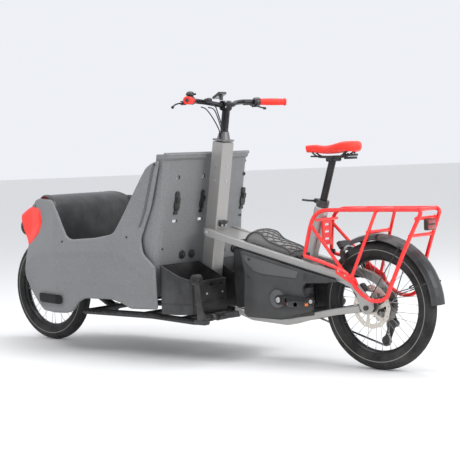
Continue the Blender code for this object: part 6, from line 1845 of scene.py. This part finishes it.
def pouch_bag(on_top):
    """Slack bag that bulges between the cords of its net and sags to the tray under it."""
    rows = []
    made = bmesh.new()
    (front, high), (rear, low) = POUCH_FLOOR
    for step in range(81):
        share = step / 80
        ring = []
        for number in range(33):
            across = -1 + 2 * number / 32
            bulge = 1.0
            for hand in (-1, 1):
                bulge *= math.sin(math.pi * NET_CORDS * (share - NET_LEAN - hand * across * NET_LEAN)) ** 2
            ring.append(on_top(share, across) + Z * (0.0022 * bulge - 0.0015))
        for number in range(9):
            across = 0.94 - 1.88 * number / 8
            x = ring[0].x
            floor = high + (x - SHIFT - front) / (rear - front) * (low - high)
            ring.append(Vector((x, across * POUCH_HALF, floor - 0.002 * (1 - across * across) + 0.003)))
        rows.append([made.verts.new(point) for point in ring])
    for before, after in zip(rows, rows[1:]):
        for number in range(len(before)):
            other = (number + 1) % len(before)
            made.faces.new((before[number], before[other], after[other], after[number]))
    made.faces.new(rows[0][::-1])
    made.faces.new(rows[-1])
    bmesh.ops.recalc_face_normals(made, faces=made.faces)
    bag = to_object("pouch_bag", made, "net", angle=80)
    bag.modifiers.new("Softened", "SUBSURF").render_levels = 1
    return bag


def pouch_net(on_top):
    """Elastic net over the bag: crossing cords that follow its top, and the thick edge cord."""
    cords = []
    for number in range(-8, 16):
        for hand in (-1, 1):
            path = []
            for step in range(41):
                across = -1 + 2 * step / 40
                share = number / NET_CORDS + hand * across * NET_LEAN + NET_LEAN
                if 0.0 <= share <= 1.0:
                    path.append(on_top(share, across))
            if len(path) > 3:
                cords.append(tube(path, 0.0024, 8))
    edge = []
    for side in (-1, 1):
        edge.append(tube([on_top(step / 40, side * 0.99) for step in range(41)], 0.0046, 10))
    for share in (0.0, 1.0):
        edge.append(tube([on_top(share, -0.99 + 1.98 * step / 20) for step in range(21)], 0.0036, 10))
    for side in (-1, 1):
        first = on_top(1.0, side * 0.8)
        tail = smooth_path([first, first + Vector((0.05, 0, -0.022)), first + Vector((0.10, 0, -0.036))], 6)
        edge.append(tube(tail, 0.0026, 8))
    return [to_object("pouch_net", joined(cords), "webbing"),
            to_object("pouch_edge_cord", joined(edge), "webbing")]


# ---------------------------------------------------------------- stage
FLOOR_REACH = 80.0
FLOOR_SIDES = 64


def build_stage():
    """Pale round floor, bright even surroundings, three soft lights and the camera."""
    made = bmesh.new()
    rows = [[made.verts.new(reach * Vector((math.cos(turn), math.sin(turn), 0)))
             for turn in (math.tau * number / FLOOR_SIDES for number in range(FLOOR_SIDES))]
            for reach in (0.5, 3.0, 12.0, FLOOR_REACH)]
    made.faces.new(rows[0])
    for near, far in zip(rows, rows[1:]):
        for number in range(FLOOR_SIDES):
            other = (number + 1) % FLOOR_SIDES
            made.faces.new((near[number], far[number], far[other], near[other]))
    floor = to_object("studio_floor", made, "studio")
    world = bpy.data.worlds.new("Studio")
    world.use_nodes = True
    background = world.node_tree.nodes["Background"]
    background.inputs["Color"].default_value = (0.93, 0.95, 1.0, 1.0)
    background.inputs["Strength"].default_value = 0.92
    bpy.context.scene.world = world
    bpy.context.scene.view_settings.view_transform = "Standard"
    for name, at, size, power in (("Key", (-0.8, -3.4, 5.2), 2.6, 90.0), ("Fill", (4.8, 0.2, 2.6), 2.6, 110.0),
                                  ("Top", (0.4, 0.8, 4.6), 3.0, 90.0)):
        light = bpy.data.lights.new(name, "AREA")
        light.shape = "DISK"
        light.size = size
        light.energy = power
        lamp = bpy.data.objects.new(name, light)
        lamp.location = at
        lamp.rotation_euler = (Vector((0, 0, 0.4)) - Vector(at)).to_track_quat("-Z", "Y").to_euler()
        bpy.context.scene.collection.objects.link(lamp)
    turn, pitch, roll = math.radians(40.34), math.radians(3.29), math.radians(-2.23)
    back = Vector((math.sin(turn) * math.cos(pitch), -math.cos(turn) * math.cos(pitch), math.sin(pitch)))
    level = Vector((math.cos(turn), math.sin(turn), 0))
    rise = back.cross(level)
    across = level * math.cos(roll) + rise * math.sin(roll)
    above = rise * math.cos(roll) - level * math.sin(roll)
    camera_data = bpy.data.cameras.new("Camera")
    camera_data.sensor_width = 36.0
    camera_data.lens = 97.5
    camera = bpy.data.objects.new("Camera", camera_data)
    camera.matrix_world = (Matrix.Translation((3.80745, -4.257, 0.889))
                           @ Matrix((across, above, back)).transposed().to_4x4())
    bpy.context.scene.collection.objects.link(camera)
    bpy.context.scene.camera = camera


def studio_material():
    made, tree, shader = new_material("Studio paper", specular=0.2)
    skin = placed(tree, "grain", Colour=(0.80, 0.80, 0.79, 1.0), Grain_size=40.0, Cloud_strength=0.05,
                  Rough_low=0.6, Rough_high=0.75)
    tree.links.new(skin.outputs["Colour"], shader.inputs["Base Color"])
    tree.links.new(skin.outputs["Roughness"], shader.inputs["Roughness"])
    return made


# ---------------------------------------------------------------- operators
class CargoOperator:
    """What every builder of this add-on shares."""

    bl_options = {"REGISTER"}

    @classmethod
    def poll(cls, context):
        return context.scene is not None


class CARGO_OT_stage(CargoOperator, bpy.types.Operator):
    """Build the floor, lights and camera"""

    bl_idname = "cargo.stage"
    bl_label = "Studio"

    def execute(self, context):
        FINISHES["studio"] = studio_material()
        build_stage()
        return {"FINISHED"}


class CARGO_OT_wheels(CargoOperator, bpy.types.Operator):
    """Build both wheels with tyres, rims, spokes, hubs and brake discs"""

    bl_idname = "cargo.wheels"
    bl_label = "Wheels"

    def execute(self, context):
        build_wheel("front", FRONT_AXLE, "front_wheel_group", 0.110, (-0.030, 0.034), 0.0165, -0.0415)
        build_wheel("rear", REAR_AXLE, "rear_wheel_group", 0.148, (-0.036, 0.018), 0.0172, -0.0605)
        return {"FINISHED"}


class CARGO_OT_drive(CargoOperator, bpy.types.Operator):
    """Build the sprockets, chain, chainring, cranks, pedals and drive covers"""

    bl_idname = "cargo.drive"
    bl_label = "Drive"

    def execute(self, context):
        cogs, sleeve = cassette_stack()
        replace("cassette", [to_object("cassette_cogs", cogs, "cogs", angle=30),
                             to_object("cassette_sleeve", sleeve, "black_metal")], "cassette_group")
        links, rollers = linked_chain()
        replace("drive_chain", [to_object("chain_links", links, "dark_steel", angle=30),
                                to_object("chain_rollers", rollers, "bolt")], "frame")
        holes = [circle(0.0300, 32)]
        for arm in range(5):
            turn = math.tau * arm / 5
            low = [(0.036 * math.cos(turn + a), 0.036 * math.sin(turn + a)) for a in (0.25, 0.63, 1.0)]
            high = [(0.056 * math.cos(turn + a), 0.056 * math.sin(turn + a)) for a in (1.05, 0.63, 0.2)]
            holes.append(rounded(low + high, 0.005, 3))
        ring = plate(toothed(RING_RADIUS, 36), 0.0034, along_y(CHAIN_Y, CRANK.x, CRANK.z), 0.0, holes[1:])
        boss = lathe([(0.012, 0.0), (0.030, 0.001), (0.031, 0.006), (0.024, 0.020), (0.0195, 0.060),
                      (0.012, 0.078)], Y, Vector((CRANK.x, CHAIN_Y - 0.003, CRANK.z)), 32, True)
        for side, word in SIDES:
            arm, ends = crank_side(side)
            pieces = [to_object(f"crank_{word}_arm", arm, "anodised"), to_object(f"crank_{word}_ends", ends, "bolt")]
            if side > 0:
                pieces.append(to_object("chainring", ring, "black_metal", angle=30))
                pieces.append(to_object("chainring_boss", boss, "anodised"))
            else:
                spindle = tube([Vector((CRANK.x, y, CRANK.z)) for y in (-0.128, 0.134)], 0.0119, 24)
                pieces.append(to_object("crank_spindle", spindle, "bolt"))
            replace(f"crank_arm_{word}", pieces, "crankset")
            cage, rods, lamps = pedal_pieces(side)
            replace(f"pedal_{word}", [to_object(f"pedal_{word}_cage", cage, "black_plastic"),
                                      to_object(f"pedal_{word}_axle", rods, "black_metal"),
                                      to_object(f"pedal_{word}_reflectors", lamps, "amber_lens")], f"{word}_pedal")
            replace(f"motor_cover_{word}", cover_pieces(side), "frame")
        wheels = joined([jockey(*UPPER_JOCKEY), jockey(*LOWER_JOCKEY)])
        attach(to_object("jockey_wheels", wheels, "black_plastic", angle=30), "chain_tensioner")
        dress("derailleur_cage", material="black_metal", bevel=0.0008)
        dress("derailleur_body", material="black_metal", bevel=0.0015)
        dress("drive_motor", material="anodised", bevel=0.003)
        dress("battery", material="black_plastic", bevel=0.002)
        dress("rear_axle", material="black_metal", bevel=0.0008)
        return {"FINISHED"}


class CARGO_OT_box(CargoOperator, bpy.types.Operator):
    """Build the box sides, walls, floor, bench and nose"""

    bl_idname = "cargo.box"
    bl_label = "Cargo box"

    def execute(self, context):
        for side, word in SIDES:
            replace(f"side_panel_{word}", [side_skin(side), *side_details(side)], "frame")
        replace("front_wall", front_wall_skin(), "frame")
        nose = nose_pillow()
        replace("nose_cover", nose, "frame")
        replace("headlight", lamp_pieces(), "frame")
        dress("back_wall", material="box", bevel=0.0015)
        for piece in anchor_pieces():
            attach(piece, "frame")
        dress("floor_panel", material="liner", bevel=0.0015)
        dress("bench_seat", material="covers", bevel=0.003)
        return {"FINISHED"}


class CARGO_OT_bins(CargoOperator, bpy.types.Operator):
    """Finish both bins and the folded stand"""

    bl_idname = "cargo.bins"
    bl_label = "Bins and stand"

    def execute(self, context):
        for side, word in SIDES:
            dress(f"storage_bin_{word}", material="black_plastic", bevel=0.0012)
            for piece in bin_pieces(side):
                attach(piece, "frame")
        dress("kickstand", material="black_plastic", bevel=0.002)
        for piece in stand_pieces():
            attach(piece, "stand")
        return {"FINISHED"}


class CARGO_OT_frame(CargoOperator, bpy.types.Operator):
    """Paint the frame, fork, column and brakes"""

    bl_idname = "cargo.frame"
    bl_label = "Frame"

    def execute(self, context):
        for name, material, width in (
                ("cargo_frame", "black_metal", 0.0), ("steering_column", "frame", 0.0015),
                ("column_cap", "cast", 0.001), ("frame_rail_left", "frame", 0.002),
                ("frame_rail_right", "frame", 0.002), ("lower_rail_left", "frame", 0.002),
                ("lower_rail_right", "frame", 0.002), ("seat_tube", "frame", 0.002),
                ("fork", "frame", 0.0), ("front_brake_caliper", "black_metal", 0.0015),
                ("rear_brake_caliper", "black_metal", 0.0015)):
            dress(name, material=material, bevel=width)
        for piece in column_pieces():
            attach(piece, "frame")
        return {"FINISHED"}


class CARGO_OT_rack(CargoOperator, bpy.types.Operator):
    """Build the rack, mudguard, tail light and ring lock"""

    bl_idname = "cargo.rack"
    bl_label = "Rack and mudguard"

    def execute(self, context):
        replace("rear_rack", rack_pieces(), "frame")
        for piece in guard_pieces():
            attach(piece, "frame")
        dress("rear_mudguard", material="black_plastic", bevel=0.0006)
        replace("tail_light", tail_lamp_pieces(), "frame")
        dress("ring_lock", material="black_plastic", bevel=0.002)
        dress("lock_shackle", material="bolt", bevel=0.0008)
        return {"FINISHED"}


class CARGO_OT_saddle(CargoOperator, bpy.types.Operator):
    """Build the padded saddle with its rails, and finish the post"""

    bl_idname = "cargo.saddle"
    bl_label = "Saddle"

    def execute(self, context):
        cover = saddle_cover()
        replace("saddle", [cover, *saddle_hardware()], "seat_group")
        dress("seatpost", material="anodised", bevel=0.001)
        dress("seat_collar", material="black_metal", bevel=0.001)
        return {"FINISHED"}


class CARGO_OT_bars(CargoOperator, bpy.types.Operator):
    """Build the bar, grips, hoses and controls"""

    bl_idname = "cargo.bars"
    bl_label = "Handlebar"

    def execute(self, context):
        replace("handlebar", bar_extras(), "steering_bar")
        for side, word in SIDES:
            replace(f"grip_{word}", grip_pieces(side), "steering_bar")
            dress(f"brake_clamp_{word}", material="black_metal", bevel=0.001)
            dress(f"brake_lever_{word}", material="anodised", bevel=0.0008)
        dress("handlebar_riser", material="anodised", bevel=0.0015)
        dress("display", material="glass", bevel=0.002)
        hoses = hose_set()
        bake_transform(hoses)
        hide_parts("control_cables")
        return {"FINISHED"}


class CARGO_OT_pouch(CargoOperator, bpy.types.Operator):
    """Build the slack pouch between the rails and lay its net over it"""

    bl_idname = "cargo.pouch"
    bl_label = "Net pouch"

    def execute(self, context):
        on_top = pouch_top()
        bag = pouch_bag(on_top)
        replace("net_pouch", [bag, *pouch_net(on_top)], "frame")
        return {"FINISHED"}


STEPS = (CARGO_OT_stage, CARGO_OT_wheels, CARGO_OT_drive, CARGO_OT_box, CARGO_OT_bins, CARGO_OT_frame,
         CARGO_OT_rack, CARGO_OT_saddle, CARGO_OT_bars, CARGO_OT_pouch)


class CARGO_PT_panel(bpy.types.Panel):
    """Lists the builders in the sidebar"""

    bl_label = "Cargo bicycle"
    bl_idname = "CARGO_PT_panel"
    bl_space_type = "VIEW_3D"
    bl_region_type = "UI"
    bl_category = "Cargo bicycle"

    def draw(self, context):
        layout = self.layout
        for group in (context.scene.cargo_bike_sizes, context.scene.cargo_bike_colours):
            column = layout.column()
            for name in group.bl_rna.properties.keys():
                if name not in {"name", "rna_type"}:
                    column.prop(group, name)
        for step in STEPS:
            layout.operator(step.bl_idname)


CLASSES = (CargoBikeSizes, CargoBikeColours, *STEPS, CARGO_PT_panel)


def register():
    for made in CLASSES:
        bpy.utils.register_class(made)
    bpy.types.Scene.cargo_bike_sizes = bpy.props.PointerProperty(type=CargoBikeSizes)
    bpy.types.Scene.cargo_bike_colours = bpy.props.PointerProperty(type=CargoBikeColours)


def unregister():
    del bpy.types.Scene.cargo_bike_colours
    del bpy.types.Scene.cargo_bike_sizes
    for made in reversed(CLASSES):
        bpy.utils.unregister_class(made)


def main():
    register()
    for step in (bpy.ops.cargo.stage, bpy.ops.cargo.wheels, bpy.ops.cargo.drive, bpy.ops.cargo.box,
                 bpy.ops.cargo.bins, bpy.ops.cargo.frame, bpy.ops.cargo.rack, bpy.ops.cargo.saddle,
                 bpy.ops.cargo.bars, bpy.ops.cargo.pouch):
        step()
    bpy.context.view_layer.update()


if __name__ == "__main__":
    main()
